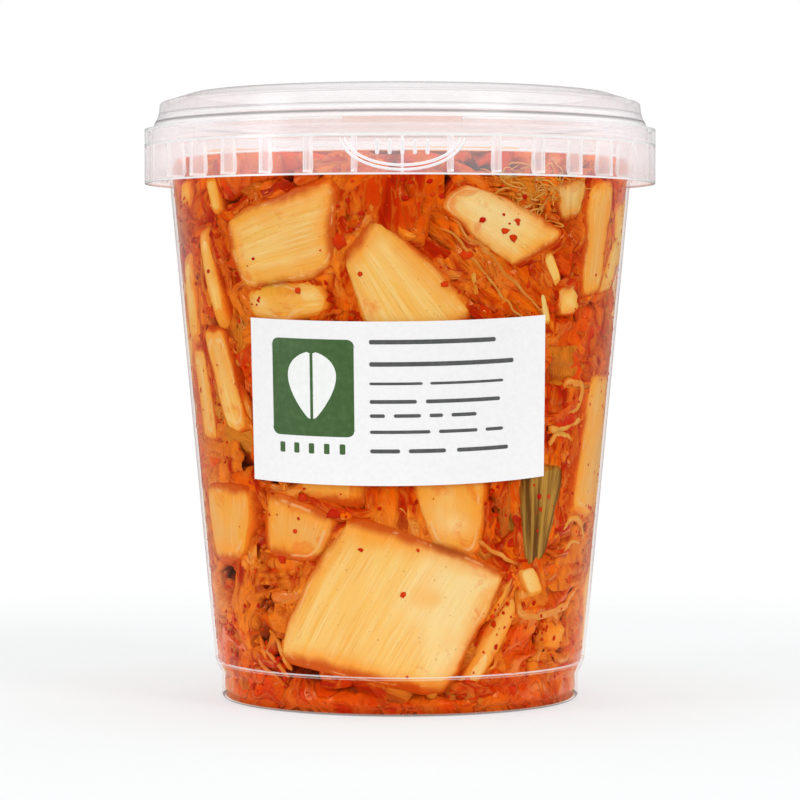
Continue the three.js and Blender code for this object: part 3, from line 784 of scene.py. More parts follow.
def cabbage(corners, thick, seed, steps=(40, 32), sag=-1.2, bow=1.8, droop=1.4, bulge=0.1,
            curve=0.0, crinkle=0.0, waves=3.0, square=12.0, crisp=4.0, fibre=0.08,
            warm=0.3, tint=0.0, dull=0.2, behind=0.0):
    """A cut of cabbage between four corners on the wall, with the fields that its finish reads.

    The corners, as (azimuth in degrees, height), are the start's left and right, then the
    end's right and left; fibres run from start to end. bulge swells the outline between its
    corners and curve bends it. The crown is sag from the wall, the edges fall back by bow
    times the fourth power of the share across, the ends by droop times that of the share
    along; crinkle and waves size and number its uneven waves, and fibre sizes its fine ribs.
    The wall stops what would pass it, and thin pieces stop behind so much short of it. The
    field depth keeps the free shape's, below 0 where it presses. warm, tint and dull are how
    far the finish goes towards orange, leek green and tan.
    """
    corners = np.array(corners, float)
    around = float(fill_radius(np.array(corners[:, 1].mean())))
    flat = np.stack([np.radians(corners[:, 0]) * around, corners[:, 1]], axis=-1)
    side = (flat[1] + flat[2] - flat[0] - flat[3]) / 4
    ahead = (flat[2] + flat[3] - flat[0] - flat[1]) / 4
    half_width, half_length = np.linalg.norm(side), np.linalg.norm(ahead)
    way = 1 if side[0] * ahead[1] > side[1] * ahead[0] else -1
    s, t, face = section(*steps, square, crisp, way)
    ragged = min(0.16, 1.1 / half_width)
    long_waves = clouds(spots(np.sign(t) * 3, s * half_length / 7, seed * 3.7), 1, 11)
    short_waves = clouds(spots(np.sign(t) * 3, s * half_length / 2.5, seed * 3.7), 1, 19)
    wobble = 1 + ragged * long_waves + 0.3 * ragged * short_waves
    wide = t * (1 + bulge * (1 - s ** 2) - 0.1 * s ** 16) * wobble
    long = s * (1 + 0.5 * bulge * (1 - t ** 2)) + 0.05 * clouds(spots(t * 2.2, seed * 5.3, s * 0), 1, 12)
    weights = [(1 - long) * (1 - wide), (1 - long) * (1 + wide),
               (1 + long) * (1 + wide), (1 + long) * (1 - wide)]
    place = sum(weight[..., None] * corner / 4 for weight, corner in zip(weights, flat))
    place = place + (side / half_width) * (curve * (s ** 2 - 0.4))[..., None]
    own = spots(wide * half_width, long * half_length, seed * 9.0)
    out = face * thick / 2 + fibre * clouds(own / [1.1, 11, 1], 1, 13) + 2 * fibre * clouds(own, 6, 16)
    bends = spots(long * waves + 0.5 * clouds(own, 4, 18), wide * 1.2, seed * 3.3 + 0 * wide)
    out = out + 2.4 * crinkle * (0.5 + wide ** 2) * clouds(bends, 1, 14)
    depth = sag + thick / 2 - out + bow * wide ** 4 + droop * long ** 4
    inside = (depth + np.sqrt(depth ** 2 + 0.04)) / 2 - INTO_WALL + behind
    up = np.clip(place[..., 1], FLOOR_TOP + 0.4, FILL_TOP)
    points = on_round(fill_radius(up) - inside, place[..., 0] / around, up)
    rim = np.minimum((1 - np.abs(t)) * half_width, (1 - np.abs(s)) * half_length)
    rim = rim * max(1, NARROW_CUT / half_width)
    fields = {"grain": own, "rim": rim, "depth": depth,
              "dull": 0 * depth + dull, "tint": 0 * depth + tint, "warm": 0 * depth + warm}
    return skin(points, wrap_columns=True), fields


def cut_block(azimuth, height, length, width, turn):
    """Corners of a block of a length and width, leaning by turn degrees to the right."""
    lean = math.radians(turn)
    ahead = np.array([math.sin(lean), math.cos(lean)]) * length / 2
    aside = np.array([math.cos(lean), -math.sin(lean)]) * width / 2
    around = float(fill_radius(np.array(height)))
    flat = np.array([-ahead - aside, -ahead + aside, ahead + aside, ahead - aside])
    return np.stack([azimuth + np.degrees(flat[:, 0] / around), height + flat[:, 1]], axis=-1)


def heap_of(name, cuts, material):
    """One object from many (skin, fields) cuts, with their fields joined in the same order."""
    skins, fields_of = zip(*cuts)
    fields = {key: np.concatenate([one[key].reshape(-1, *one[key].shape[2:]) for one in fields_of])
              for key in fields_of[0]}
    made = put(name, skins, material, fields=fields)
    dress(made, "kimchi", "kimchi")
    return made


def wet(made, colour, normal, glow, coat):
    """Wet plant flesh: light goes a few mm into it, and its smooth rims glint with brine."""
    return made.node("ShaderNodeBsdfPrincipled", {}, {
        "Base Color": colour, "Roughness": 0.35, "Normal": normal, "Specular IOR Level": 0.05,
        "Subsurface Weight": glow, "Subsurface Radius": (1.0, 0.45, 0.15), "Subsurface Scale": 0.003,
        "Coat Weight": coat, "Coat Roughness": 0.09})


# The cuts at the front where they lie in the tub: corners, thickness and what differs
FRONT_STEMS = [
    ([(-45.5, 11.5), (15.3, 3.8), (36.3, 32), (-17, 47)], 9,
     dict(sag=-2.2, bow=1.8, droop=1.8, crisp=10, square=30, bulge=0.0, warm=0.12, steps=(110, 100))),
    ([(14.8, 5.2), (25, 5.4), (41, 25.4), (33, 28.6)], 5, dict(sag=-0.1, bow=0.6, warm=0.6)),
    ([(-43.8, 92), (-50.8, 110.5), (-14, 121), (-15.5, 96.5)], 8,
     dict(sag=-2.0, bow=1.8, warm=0.35, dull=0.0, steps=(80, 70))),
    ([(-44.7, 95.4), (-41.3, 86), (-15.7, 86.3), (-18.8, 98.5)], 5,
     dict(sag=-0.8, crinkle=0.5, waves=2, warm=0.6)),
    ([(-16, 100), (-6, 112.5), (24, 89.5), (-5, 72)], 10,
     dict(sag=-2.0, bow=2.2, warm=0.1, dull=-0.4, steps=(90, 70))),
    ([(8, 111.7), (15, 118.5), (49, 107.5), (28, 97.5)], 7,
     dict(sag=-1.8, bow=2.0, warm=0.15, dull=-0.3, steps=(80, 60))),
    ([(42.5, 93.6), (47.2, 95.4), (41, 104.6), (36.7, 101.5)], 3, dict(sag=-0.2)),
    ([(38.7, 85), (44.4, 85), (39.8, 95.8), (35.9, 96.2)], 3, dict(sag=-0.2)),
    ([(53, 91), (65, 93), (69, 120), (52, 119)], 4, dict(bow=1.2, warm=0.7, dull=0.6)),
    ([(61.5, 92.3), (73, 93.5), (84, 108.6), (69.1, 105.9)], 4, dict(bow=1.2, dull=0.5)),
    ([(43.2, 108.9), (50.7, 109.9), (53.9, 119.6), (39.8, 117.9)], 3.5, dict(crinkle=0.4, tint=0.25)),
    ([(-74.8, 112.3), (-62, 112), (-64.1, 120), (-72.5, 119)], 3.5, dict(sag=-0.4, warm=0.9)),
    ([(-54.5, 110), (-48.6, 110.8), (-50, 120), (-57.9, 119.6)], 3.5, dict(sag=-0.4, warm=0.9)),
    ([(-57.6, 84.1), (-48.9, 86), (-56.3, 109.4), (-64.6, 108.2)], 4, dict(bow=1.3, sag=-0.4, warm=0.9)),
    ([(-80.7, 80.4), (-64.4, 80.6), (-66.7, 104.2), (-79.9, 103)], 4, dict(bow=1.3, sag=-0.4, warm=0.9)),
    ([(-55.6, 61.8), (-43.9, 62), (-51.8, 86.2), (-66.4, 86.1)], 5, dict(bow=1.4, warm=0.5, dull=0.6)),
    ([(-72.7, 59.1), (-59.2, 59.4), (-63.1, 81.6), (-75.8, 81.5)], 4, dict(bow=1.3, warm=0.7, dull=0.6)),
    ([(-73.2, 31.1), (-48.7, 32.9), (-40.6, 52), (-79.3, 51.5)], 8, dict(bow=1.6, warm=0.6, dull=1.0)),
    ([(-43.6, 34), (-22.1, 33.8), (-14, 44.6), (-42.5, 52.1)], 6,
     dict(bow=1.4, sag=-1.2, warm=0.4, dull=1.2)),
    ([(-31.9, 47.9), (-8.4, 45), (-5, 55.5), (-33.4, 55.6)], 5, dict(sag=-0.4, warm=0.4, dull=1.1)),
    ([(6.8, 37.2), (24.3, 34.3), (28.2, 55.2), (0.1, 54.6)], 8,
     dict(bow=1.6, droop=0.9, sag=-1.2, warm=0.75)),
    ([(38.3, 32), (47.1, 33.4), (53.5, 56), (33.3, 55.6)], 4.5, dict(bow=1.0, tint=1.0, fibre=0.25)),
    ([(32.1, 38.1), (38.7, 38.8), (33.3, 54.7), (23.7, 54.8)], 3, dict(sag=0.6, tint=1.0, fibre=0.3)),
    ([(55.4, 41.6), (78.8, 39.6), (86, 76.7), (60.1, 76.7)], 6, dict(bow=1.3, warm=0.7, dull=0.7)),
    ([(40.3, 24.3), (49.7, 25.7), (43, 34.2), (34.2, 33.2)], 5,
     dict(sag=-0.4, bulge=0.25, square=4, warm=0.5)),
    ([(44.2, 87.8), (54.7, 88.6), (51.8, 96), (42.9, 95)], 5, dict(crinkle=0.5, waves=5, square=4)),
    ([(47.4, 12.8), (62.5, 11.4), (63.3, 20), (47.2, 21.4)], 4, dict(sag=0.2, crinkle=0.3, warm=1.0)),
]

# The flesh is straw and cream along the fibres, tan in dull stretches and orange where it is
# warm. Towards its rim it goes orange and then red, partly brine and paste soaked in and partly
# painted shade where the rim rolls away; pale lines where the rims glint are painted highlights,
# and what lies deep is painted dark as shade.
stem_finish = Finish("cabbage_stem")
stem_rim = stem_finish.field("rim")
stem_depth = stem_finish.field("depth")
fibres = stem_finish.noise(stem_finish.along_grain((0.55, 0.03, 1)), 1.0, 5.0, 0.6, 0.4)
strands = stem_finish.noise(stem_finish.along_grain((2.6, 0.08, 1)), 1.0, 2.0, 0.5)
stain = stem_finish.noise(stem_finish.place(), 55.0, 2.0)
cloud = stem_finish.noise(stem_finish.place(), 28.0, 1.0)
film = stem_finish.noise(stem_finish.place(), 170.0, 5.0, 0.62, 0.6)
specks = stem_finish.noise(stem_finish.place(), 1300.0, 1.0)
warmth = stem_finish.field("warm") + 3.6 * (stain - 0.5)
dull = (stem_finish.field("dull") + 2.6 * (0.5 - cloud)).above(0.3, 1.0)
rim_soak_and_shade = stem_rim - 1.5 * stem_finish.field("warm") + 6.0 * (stain - 0.5) + 4.0 * (film - 0.5)
seam = (stem_rim + 3.0 * (film - 0.5) + 2.5 * (cloud - 0.5)).above(3.8, 1.6)
smear = (film - 0.022 * stem_rim + 0.05 * (warmth - 0.5)).above(0.44, 0.58)
shine = (stem_depth + 0.75).size().above(0.16, 0.04) * film.above(0.48, 0.6)
straw = stem_finish.blend(fibres.above(0.3, 0.7), STRAW, CREAM)
leek = stem_finish.blend(fibres.above(0.38, 0.6), srgb(104, 62, 16), srgb(186, 136, 56))
stem_colour = stem_finish.layers(straw, [
    (dull * 0.6, srgb(232, 154, 72)),
    (strands.above(0.54, 0.76) * 0.4, srgb(255, 232, 178)),
    (strands.above(0.46, 0.28) * 0.36, AMBER),
    (cloud.above(0.5, 0.68) * 0.6, srgb(255, 228, 168)),
    (warmth.above(0.4, 1.2) * 0.75, srgb(252, 162, 34)),
    (specks.above(0.71, 0.78) * 0.5, srgb(184, 92, 20)),
    # Orange, then red, at the rim: brine and paste soaked in, and painted shade where it rolls away
    (rim_soak_and_shade.above(7.0, 2.0) * 0.7, srgb(252, 154, 34)),
    (seam * 0.9, srgb(204, 72, 4)),
    (smear * 0.5, srgb(240, 110, 14)),
    # Painted highlight along the glinting rims
    (shine * 0.35, srgb(255, 222, 160)),
    (stem_finish.field("tint"), leek),
    # Painted shade, with the brine's red, on what lies deep behind the wall
    (stem_depth.above(1.3, 4.5), DEEP_SHADE)])
stem_bump = stem_finish.bump(fibres + 0.4 * strands + 0.5 * smear, 0.0005, 0.6)
stem_material = stem_finish.done(wet(stem_finish, stem_colour, stem_bump, 0.4, coat=0.08 + 0.25 * shine))

front = [cabbage(corners, thick, i + 1, **{"steps": (56, 44), **rest})
         for i, (corners, thick, rest) in enumerate(FRONT_STEMS)]
heap_of("kimchi_front_stems", front, stem_material)

# The stems go on round the back of the tub: the same thick pale ribs, cut to blocks and packed
# in five staggered rings. Each is cut and turned by chance, and dyed a little differently.
BACK_RINGS = (17, 39, 61, 83, 105)
BACK_START = 88
BACK_PITCH = 32
BACK_IN_RING = 6

draw = np.random.default_rng(7)
back = []
for row, height in enumerate(BACK_RINGS):
    for i in range(BACK_IN_RING):
        azimuth = BACK_START + BACK_PITCH * (i + (row % 2) / 2) + draw.uniform(-5, 5)
        place = (azimuth, height + draw.uniform(-4, 4))
        block = cut_block(*place, draw.uniform(22, 34), draw.uniform(15, 23), draw.uniform(-90, 90))
        block = block + draw.uniform(-2, 2, (4, 2))
        back.append(cabbage(block, draw.uniform(5, 9), 40 + BACK_IN_RING * row + i,
                            bow=draw.uniform(1.2, 2.2), warm=draw.uniform(0, 0.8),
                            dull=draw.uniform(0, 0.8), behind=0.015 * (i % 5)))
heap_of("kimchi_back_stems", back, stem_material)

# A layer of stems lies loose on top of the filling, under the lid: the same cuts, laid flat
# where they fell, half sunk in the paste.
TOP_CUTS = 11
TOP_SPREAD = 42
TOP_LEVEL = FILL_TOP - 2.0
TOP_LIMIT = 125.6
GOLDEN_TURN = 137.5


def top_cut(azimuth, reach, length, width, thick, turn, tilt, seed):
    """A cut lying on top of the filling: the same section, laid flat, turned and tilted."""
    s, t, face = section(44, 36, 8, 4)
    own = spots(t * width / 2 * (1 - 0.15 * s ** 8), s * length / 2, face * thick / 2)
    own[..., 2] += 0.5 * clouds(spots(own[..., 0] / 5, own[..., 1] / 9, seed), 1, 15) + 1.5 * (1 - t ** 2)
    a, b, c = math.radians(turn), math.radians(tilt), math.radians(azimuth)
    tilting = np.array([[1, 0, 0], [0, math.cos(b), math.sin(b)], [0, -math.sin(b), math.cos(b)]])
    turning = np.array([[math.cos(a), -math.sin(a), 0], [math.sin(a), math.cos(a), 0], [0, 0, 1]])
    points = own @ tilting @ turning + [reach * math.sin(c), -reach * math.cos(c), TOP_LEVEL]
    far = np.hypot(points[..., 0], points[..., 1])
    limit = float(fill_radius(np.array(FILL_TOP))) - 0.4
    points[..., :2] *= np.minimum(1, limit / far)[..., None]
    points[..., 2] = np.minimum(points[..., 2], TOP_LIMIT)
    rim = 2 + np.minimum((1 - np.abs(t)) * width / 2, (1 - np.abs(s)) * length / 2)
    fields = {"grain": own, "rim": rim, "depth": 0.5 - 0.5 * face,
              "dull": 0 * face, "tint": 0 * face, "warm": 0 * face + 0.6}
    return skin(points, wrap_columns=True), fields


draw = np.random.default_rng(19)
tops = [top_cut(GOLDEN_TURN * i + 20 * draw.uniform(), TOP_SPREAD * math.sqrt((i + 0.3) / TOP_CUTS),
                draw.uniform(17, 30), draw.uniform(11, 19), draw.uniform(4, 7),
                draw.uniform(0, 180), draw.uniform(-8, 8), i + 80)
        for i in range(TOP_CUTS)]
heap_of("kimchi_top_stems", tops, stem_material)

# The leaves are the thin frilled green parts, limp and dyed by the brine. They are crumpled
# between the ribs, and where their edges catch the light they are painted with fine pale lines
# as highlights.
FRONT_LEAVES = [
    ([(4, 106), (10.5, 114), (50, 87), (33, 82)], dict(crinkle=0.9, waves=6, sag=-0.1, warm=0.1)),
    ([(4, 101), (7, 106), (38, 84), (28, 82)], dict(crinkle=0.9, waves=7, sag=0.2, bow=0.3, warm=0.6)),
    ([(-17.3, 87.9), (-9.5, 86), (-8.2, 103.6), (-14.8, 103.2)], dict(crinkle=0.5, waves=4, sag=-0.3)),
    ([(-24, 88), (-16, 87), (-12, 101), (-20, 103)], dict(crinkle=0.9, waves=6, sag=0.1)),
    ([(-7.7, 38.4), (6.8, 36.7), (7.7, 52), (-10.7, 53.3)], dict(crinkle=0.4, waves=3, sag=-0.3)),
    ([(-13.1, 104), (3, 103), (3, 119.5), (-12, 119.5)], dict(crinkle=1.2, waves=3, sag=-0.3, warm=0.7)),
    ([(1, 106), (8.5, 106), (10.5, 119.5), (1, 119)], dict(crinkle=0.9, waves=3, sag=-0.1, warm=0.5)),
    ([(20.2, 86.6), (32.2, 87), (29.2, 96.2), (19.8, 95.7)], dict(crinkle=0.5, waves=2, sag=1.4)),
    ([(23.8, 112.6), (43.7, 111.1), (42.2, 120), (23.5, 120)], dict(crinkle=0.9, waves=7, sag=0.1, tint=0.6)),
    ([(13.5, 114.3), (25.9, 113.6), (24.6, 119.8), (14.4, 119.2)],
     dict(crinkle=0.8, waves=8, sag=0, tint=0.2)),
    ([(42.2, 71.8), (61.9, 71.1), (60.8, 83), (41.3, 82.7)], dict(crinkle=1.0, waves=4, sag=0, tint=0.7)),
    ([(42.7, 61.2), (61.7, 62.9), (61.8, 73.9), (41.5, 73.3)], dict(crinkle=1.3, waves=6, sag=-0.1)),
    ([(43.8, 52.3), (60.2, 51.7), (58.2, 61.8), (42.7, 61.7)], dict(crinkle=0.8, waves=4, sag=0)),
    ([(50.2, 26.2), (84, 28.8), (71.5, 42.8), (52.7, 41.4)], dict(crinkle=1.2, waves=6, sag=0)),
    ([(-51, 100.6), (-42.5, 105), (-47.1, 111.9), (-59, 111.2)], dict(crinkle=0.9, waves=6, sag=0)),
    ([(-49.4, 89.5), (-42.9, 86.9), (-51.8, 104), (-56.6, 102.7)], dict(crinkle=0.4, waves=5, sag=0.2)),
    ([(-63.9, 20.3), (-50.6, 21.1), (-48, 33.6), (-57.3, 33.1)], dict(crinkle=0.3, waves=2, sag=-0.3)),
    ([(-63, 13), (-51, 12), (-45, 27), (-54, 30)], dict(crinkle=0.6, waves=3, sag=-0.1, warm=0.1, curve=3)),
    ([(-69.4, 6.2), (-49.1, 6.7), (-48.7, 16.9), (-62.7, 16)], dict(crinkle=0.8, waves=4, sag=0.2)),
    ([(-44.4, 26.4), (-24.9, 29.3), (-22.7, 36.7), (-44.3, 36.9)], dict(crinkle=0.8, waves=5, sag=0.2)),
    ([(60.3, 72.9), (79.6, 74.4), (78.4, 92.9), (54.7, 92.4)], dict(crinkle=1.0, waves=6, sag=0.1)),
    ([(-82, 49.2), (-51.5, 50.6), (-51.6, 63.8), (-69.9, 63.4)], dict(crinkle=0.9, waves=6, sag=0.2)),
    ([(-24, 97), (-17, 99), (-10, 117), (-20, 117)], dict(crinkle=0.8, waves=5, sag=0.4)),
]
# The finish goes between red and orange by the crumple and gold in drifts. Its crests and rims
# are painted pale as highlights, and the patches between the wrinkles and the folds painted dark
# as shade
leaf_finish = Finish("cabbage_leaf")
leaf_rim = leaf_finish.field("rim")
leaf_depth = leaf_finish.field("depth")
crumple = leaf_finish.noise(leaf_finish.along_grain((0.24, 0.09, 1)), 1.0, 4.0, 0.55, 0.7)
wrinkles = leaf_finish.noise(leaf_finish.along_grain((0.4, 0.12, 1)), 1.0, 3.0, 0.5, 0.6)
leaf_crest = (1 - (wrinkles - 0.5).size() * 14).above(0.0, 1.0)
leaf_red = (leaf_finish.field("warm") + 1.4 * (crumple - 0.5)).above(0.3, 1.0)
leaf_gold = leaf_finish.noise(leaf_finish.place(), 42.0, 2.0) + 0.35 * (crumple - 0.5)
leaf_shade = (leaf_depth / 2.4 + crumple - 0.5).above(0.3, 1.1)
leaf_ground = leaf_finish.blend(crumple.above(0.36, 0.66), srgb(192, 38, 0), srgb(246, 126, 12))
leaf_colour = leaf_finish.layers(leaf_ground, [
    (leaf_red * 0.85, srgb(204, 36, 0)),
    (leaf_gold.above(0.48, 0.6) * 0.6, srgb(250, 166, 60)),
    (leaf_finish.field("tint"), srgb(206, 148, 56)),
    # Painted highlight on the crests
    (leaf_crest * 0.35, srgb(250, 152, 40)),
    # Painted shade between the wrinkles
    (wrinkles.above(0.45, 0.3) * 0.7, srgb(150, 26, 0)),
    # Painted highlight along the rims
    (leaf_rim.above(0.4, 0.1) * 0.3, srgb(250, 160, 60)),
    (leaf_shade, srgb(148, 34, 2)),
    # Painted shade, with the brine's red, on what lies deep
    (leaf_depth.above(2.0, 5.0), DEEP_SHADE)])
leaf_bump = leaf_finish.bump(crumple + 0.3 * leaf_crest, 0.0012, 0.8)
leaf_material = leaf_finish.done(wet(leaf_finish, leaf_colour, leaf_bump, 0.0, coat=0.12 + 0.5 * leaf_crest))

LEAF_THICK = 0.9
LEAF_FORM = {"bow": 0.8, "droop": 0.5, "square": 6, "bulge": 0.2, "behind": 0.06}
leaves = [cabbage(corners, LEAF_THICK, i + 100, steps=(90, 30), **{**LEAF_FORM, **rest})
          for i, (corners, rest) in enumerate(FRONT_LEAVES)]
heap_of("kimchi_leaves", leaves, leaf_material)

# Torn bits of leaf cling to the edges of the stems at the front: small thin scraps of the same
# leaf, pressed along each edge as the tub was filled.
BIT_EVERY = 9
BIT_THICK = 0.8

draw = np.random.default_rng(27)
bits = []
for corners, _, _ in FRONT_STEMS:
    around = float(fill_radius(np.array(corners)[:, 1].mean()))
    outline = np.array([(math.radians(azimuth) * around, height) for azimuth, height in corners])
    edges = np.roll(outline, -1, axis=0) - outline
    lengths = np.linalg.norm(edges, axis=1)
    for _ in range(max(2, round(lengths.sum() / BIT_EVERY))):
        side = draw.choice(4, p=lengths / lengths.sum())
        spot = outline[side] + edges[side] * draw.uniform() + draw.uniform(-0.8, 0.8, 2)
        lean = math.degrees(math.atan2(*edges[side])) + draw.uniform(-25, 25)
        block = cut_block(math.degrees(spot[0] / around), spot[1],
                          draw.uniform(4, 11), draw.uniform(1.4, 3.6), lean)
        bits.append(cabbage(block, BIT_THICK, len(bits) + 300, steps=(22, 12),
                            sag=draw.uniform(-0.6, 0.1), bow=0.5, droop=0.6,
                            curve=draw.uniform(-1.5, 1.5), crinkle=draw.uniform(0.2, 0.7),
                            waves=draw.uniform(1, 3), square=4, bulge=0.4,
                            warm=draw.uniform(0, 1), behind=0.04))
heap_of("kimchi_leaf_bits", bits, leaf_material)

# Small leaves lie all round behind the larger cuts: torn pieces of the frilled part, limp and
# crumpled, a few of them still green. They lie where the packing left them.
SMALL_LEAVES = 170

draw = np.random.default_rng(21)
small_leaves = []
for i in range(SMALL_LEAVES):
    block = cut_block(draw.uniform(-180, 180), draw.uniform(7, 119),
                      draw.uniform(10, 26), draw.uniform(5, 13), draw.uniform(-90, 90))
    small_leaves.append(cabbage(block, draw.uniform(0.6, 1.1), i + 130, steps=(34, 14),
                                sag=draw.uniform(0.1, 1.4), bow=draw.uniform(0.2, 1.4),
                                droop=draw.uniform(0, 1.4), curve=draw.uniform(-3, 3),
                                crinkle=draw.uniform(0.4, 1.1), waves=draw.uniform(2, 5),
                                square=4, bulge=0.3, tint=max(0, draw.uniform(-1.5, 0.8)),
                                warm=draw.uniform(0, 1), behind=0.07))
heap_of("kimchi_small_leaves", small_leaves, leaf_material)

# Shreds of radish, leaf rib and leek run between the cuts: narrow strips that bend as they lie,
# with a tangle of fine root threads at the top right. Each row gives the places that a strip
# runs through, as (azimuth, height, depth), its width, its thickness and how dark it is.
LOOSE_SHREDS = 60
ROOT_THREADS = 60
ROOT_THICK = 0.4
FRONT_SHREDS = [
    ([(36, 27, 0.2), (38, 22.5, 0), (45, 20.5, 0), (55, 22, 0), (66, 26, 0.1), (80, 31.5, 0.4)],
     1.8, 1.2, 0.45),
    ([(-41.5, 25.3, 0), (-34, 26.6, 0), (-28, 27.8, 0.2)], 3.2, 2.4, 0.75),
    ([(-37, 8, 0.1), (-42, 12, 0.1), (-48, 17, 0.4)], 1.3, 1.0, 0.7),
    ([(-35, 9.5, 0.3), (-39, 14, 0.2), (-44, 18, 0.5)], 1.3, 1.0, 0.4),
    ([(-39, 6, 0.2), (-45, 9, 0.1), (-51, 13, 0.4)], 1.2, 0.9, 0.8),
    ([(47, 71, 0.1), (53, 74, 0), (58, 71, 0), (54, 67, 0), (48, 68.5, 0.1)], 1.8, 1.3, 0.35),
    ([(44, 64, 0), (52, 63, 0), (60, 67, 0.2)], 2.0, 1.3, 0.2),
    ([(43, 60, 0.2), (50, 62, 0), (57, 60, 0.3)], 1.4, 1.0, 0.2),
    ([(52, 39, 0.1), (59, 42, 0), (67, 40, 0.1), (72, 34, 0.4)], 1.6, 1.2, 0.2),
    ([(53, 33, 0.1), (60, 37, 0.1), (69, 36, 0.2)], 1.3, 1.0, 0.3),
    ([(12, 109, 0.1), (20, 104, 0), (30, 95, 0), (42, 87, 0.1)], 0.7, 0.6, 0.6),
    ([(10, 108, 0), (17, 102, 0.1), (27, 93, 0), (37, 86, 0.1)], 0.6, 0.6, 0.5),
    ([(36.5, 33, 0), (27, 37, 0.2), (17, 40.5, 0.3), (5, 42, 0.4)], 1.1, 0.8, 0.5),
]


def through(places, count):
    """A Catmull-Rom curve of count points through the places."""
    padded = np.concatenate([places[:1], places, places[-1:]])
    share = np.linspace(0, len(places) - 1 - 1e-6, count)
    k = share.astype(int)
    f = (share - k)[:, None]
    a, b, c, d = (padded[k + i] for i in range(4))
    straight = 2 * b + (c - a) * f
    bent = (2 * a - 5 * b + 4 * c - d) * f ** 2 + (3 * b - a - 3 * c + d) * f ** 3
    return 0.5 * (straight + bent)


def shred(places, width, thick, dark, seed, steps=(40, 12)):
    """A strip with a superellipse section carried along a curve of (azimuth, height, depth).

    dark, from 0 to 1, takes its colour from amber to red.
    """
    path = through(np.array(places, float), steps[0])
    around = float(fill_radius(np.array(path[:, 1].mean())))
    flat = np.stack([np.radians(path[:, 0]) * around, path[:, 1]], axis=-1)
    kinks = [clouds(spots(flat[:, 0] / 3, flat[:, 1] / 3, seed), 1, k) for k in (20, 21)]
    flat = flat + 0.9 * np.stack(kinks, axis=-1)
    heading = np.gradient(flat, axis=0)
    heading /= np.linalg.norm(heading, axis=1, keepdims=True)
    beside = np.stack([heading[:, 1], -heading[:, 0]], axis=-1)[:, None]
    s, t, face = section(*steps, 8, 2)
    body = 1 + 0.2 * clouds(spots(s * 4, seed * 7.7, 0 * s), 1, 17)
    place = flat[:, None] + beside * (t * width / 2 * body * (1 - 0.5 * s ** 12))[..., None]
    depth = path[:, 2:] + thick / 2 - face * thick / 2 * body - 0.25
    depth = (depth + np.sqrt(depth ** 2 + 0.01)) / 2 - INTO_WALL
    up = np.clip(place[..., 1], FLOOR_TOP + 0.4, FILL_TOP)
    length = np.linalg.norm(np.diff(flat, axis=0), axis=1).sum()
    fields = {"grain": spots(t * width / 2, s * length / 2, seed * 3.0), "depth": depth,
              "dark": 0 * depth + dark}
    return skin(on_round(fill_radius(up) - depth, place[..., 0] / around, up), wrap_columns=True), fields


shreds = [shred(*row, i) for i, row in enumerate(FRONT_SHREDS)]
draw = np.random.default_rng(5)
for i in range(LOOSE_SHREDS):
    start = np.array([draw.uniform(-180, 180), draw.uniform(6, 118)])
    heading, swing = draw.uniform(0, 2 * math.pi), draw.uniform(-0.6, 0.6)
    places = [(*start, draw.uniform(0, 1.5))]
    for _ in range(3):
        heading += swing
        step = draw.uniform(2.5, 6)
        start = start + [1.2 * step * math.cos(heading), step * math.sin(heading)]
        places.append((start[0], np.clip(start[1], 5, 121), draw.uniform(0.1, 1.3)))
    shreds.append(shred(places, draw.uniform(0.7, 1.8), draw.uniform(0.6, 1.2), draw.uniform(),
                        i + 30, (26, 10)))
for i in range(ROOT_THREADS):
    spot = np.array([draw.uniform(23, 47), draw.uniform(110.5, 119.5)])
    curl = np.cumsum(draw.uniform(-1, 1, (4, 2)) * [4.5, 2.4], axis=0)
    places = [(*(spot + step), draw.uniform(-0.1, 0.5)) for step in curl]
    shreds.append(shred(places, ROOT_THICK, ROOT_THICK, draw.uniform(0, 0.3), i + 100, (18, 6)))
shred_finish = Finish("shreds")
shred_grain = shred_finish.noise(shred_finish.along_grain((1.6, 0.25, 1)), 1.0, 3.0, 0.6)
shred_tone = shred_finish.field("dark")
shred_ground = shred_finish.blend(shred_tone, srgb(244, 160, 62), srgb(226, 96, 10))
shred_colour = shred_finish.layers(shred_ground, [
    (shred_tone.above(0.75, 1.0) * 0.7, srgb(208, 64, 14)),
    (shred_grain.above(0.5, 0.7) * 0.3, srgb(255, 206, 130)),
    # Painted shade, with the brine's red, where a shred lies deep
    (shred_finish.field("depth").above(0.6, 2.6), RED_SHADE)])
shred_bump = shred_finish.bump(shred_grain, 0.0004, 0.6)
shred_material = shred_finish.done(wet(shred_finish, shred_colour, shred_bump, 0.4, coat=0.3))
heap_of("kimchi_shreds", shreds, shred_material)

# The bed is the mass of small leaf and paste between the large pieces: one crumpled surface that
# fills the tub, hollow behind each cut at the front, with folds where it meets the wall.
BED_COLUMNS = 380
BED_ROWS = 190
BED_RINGS = 44


def share_of_cut(corners, azimuth, up):
    """How far a place is from a cut's middle: the larger of its shares across and along."""
    corners = np.array(corners, float)
    middle = corners.mean(axis=0)
    aside = (corners[1] + corners[2] - corners[0] - corners[3]) / 4
    ahead = (corners[2] + corners[3] - corners[0] - corners[1]) / 4
    off_azimuth, off_height = azimuth - middle[0], up - middle[1]
    area = aside[0] * ahead[1] - aside[1] * ahead[0]
    across = (off_azimuth * ahead[1] - off_height * ahead[0]) / area
    along = (off_height * aside[0] - off_azimuth * aside[1]) / area
    return np.maximum(np.abs(across), np.abs(along))


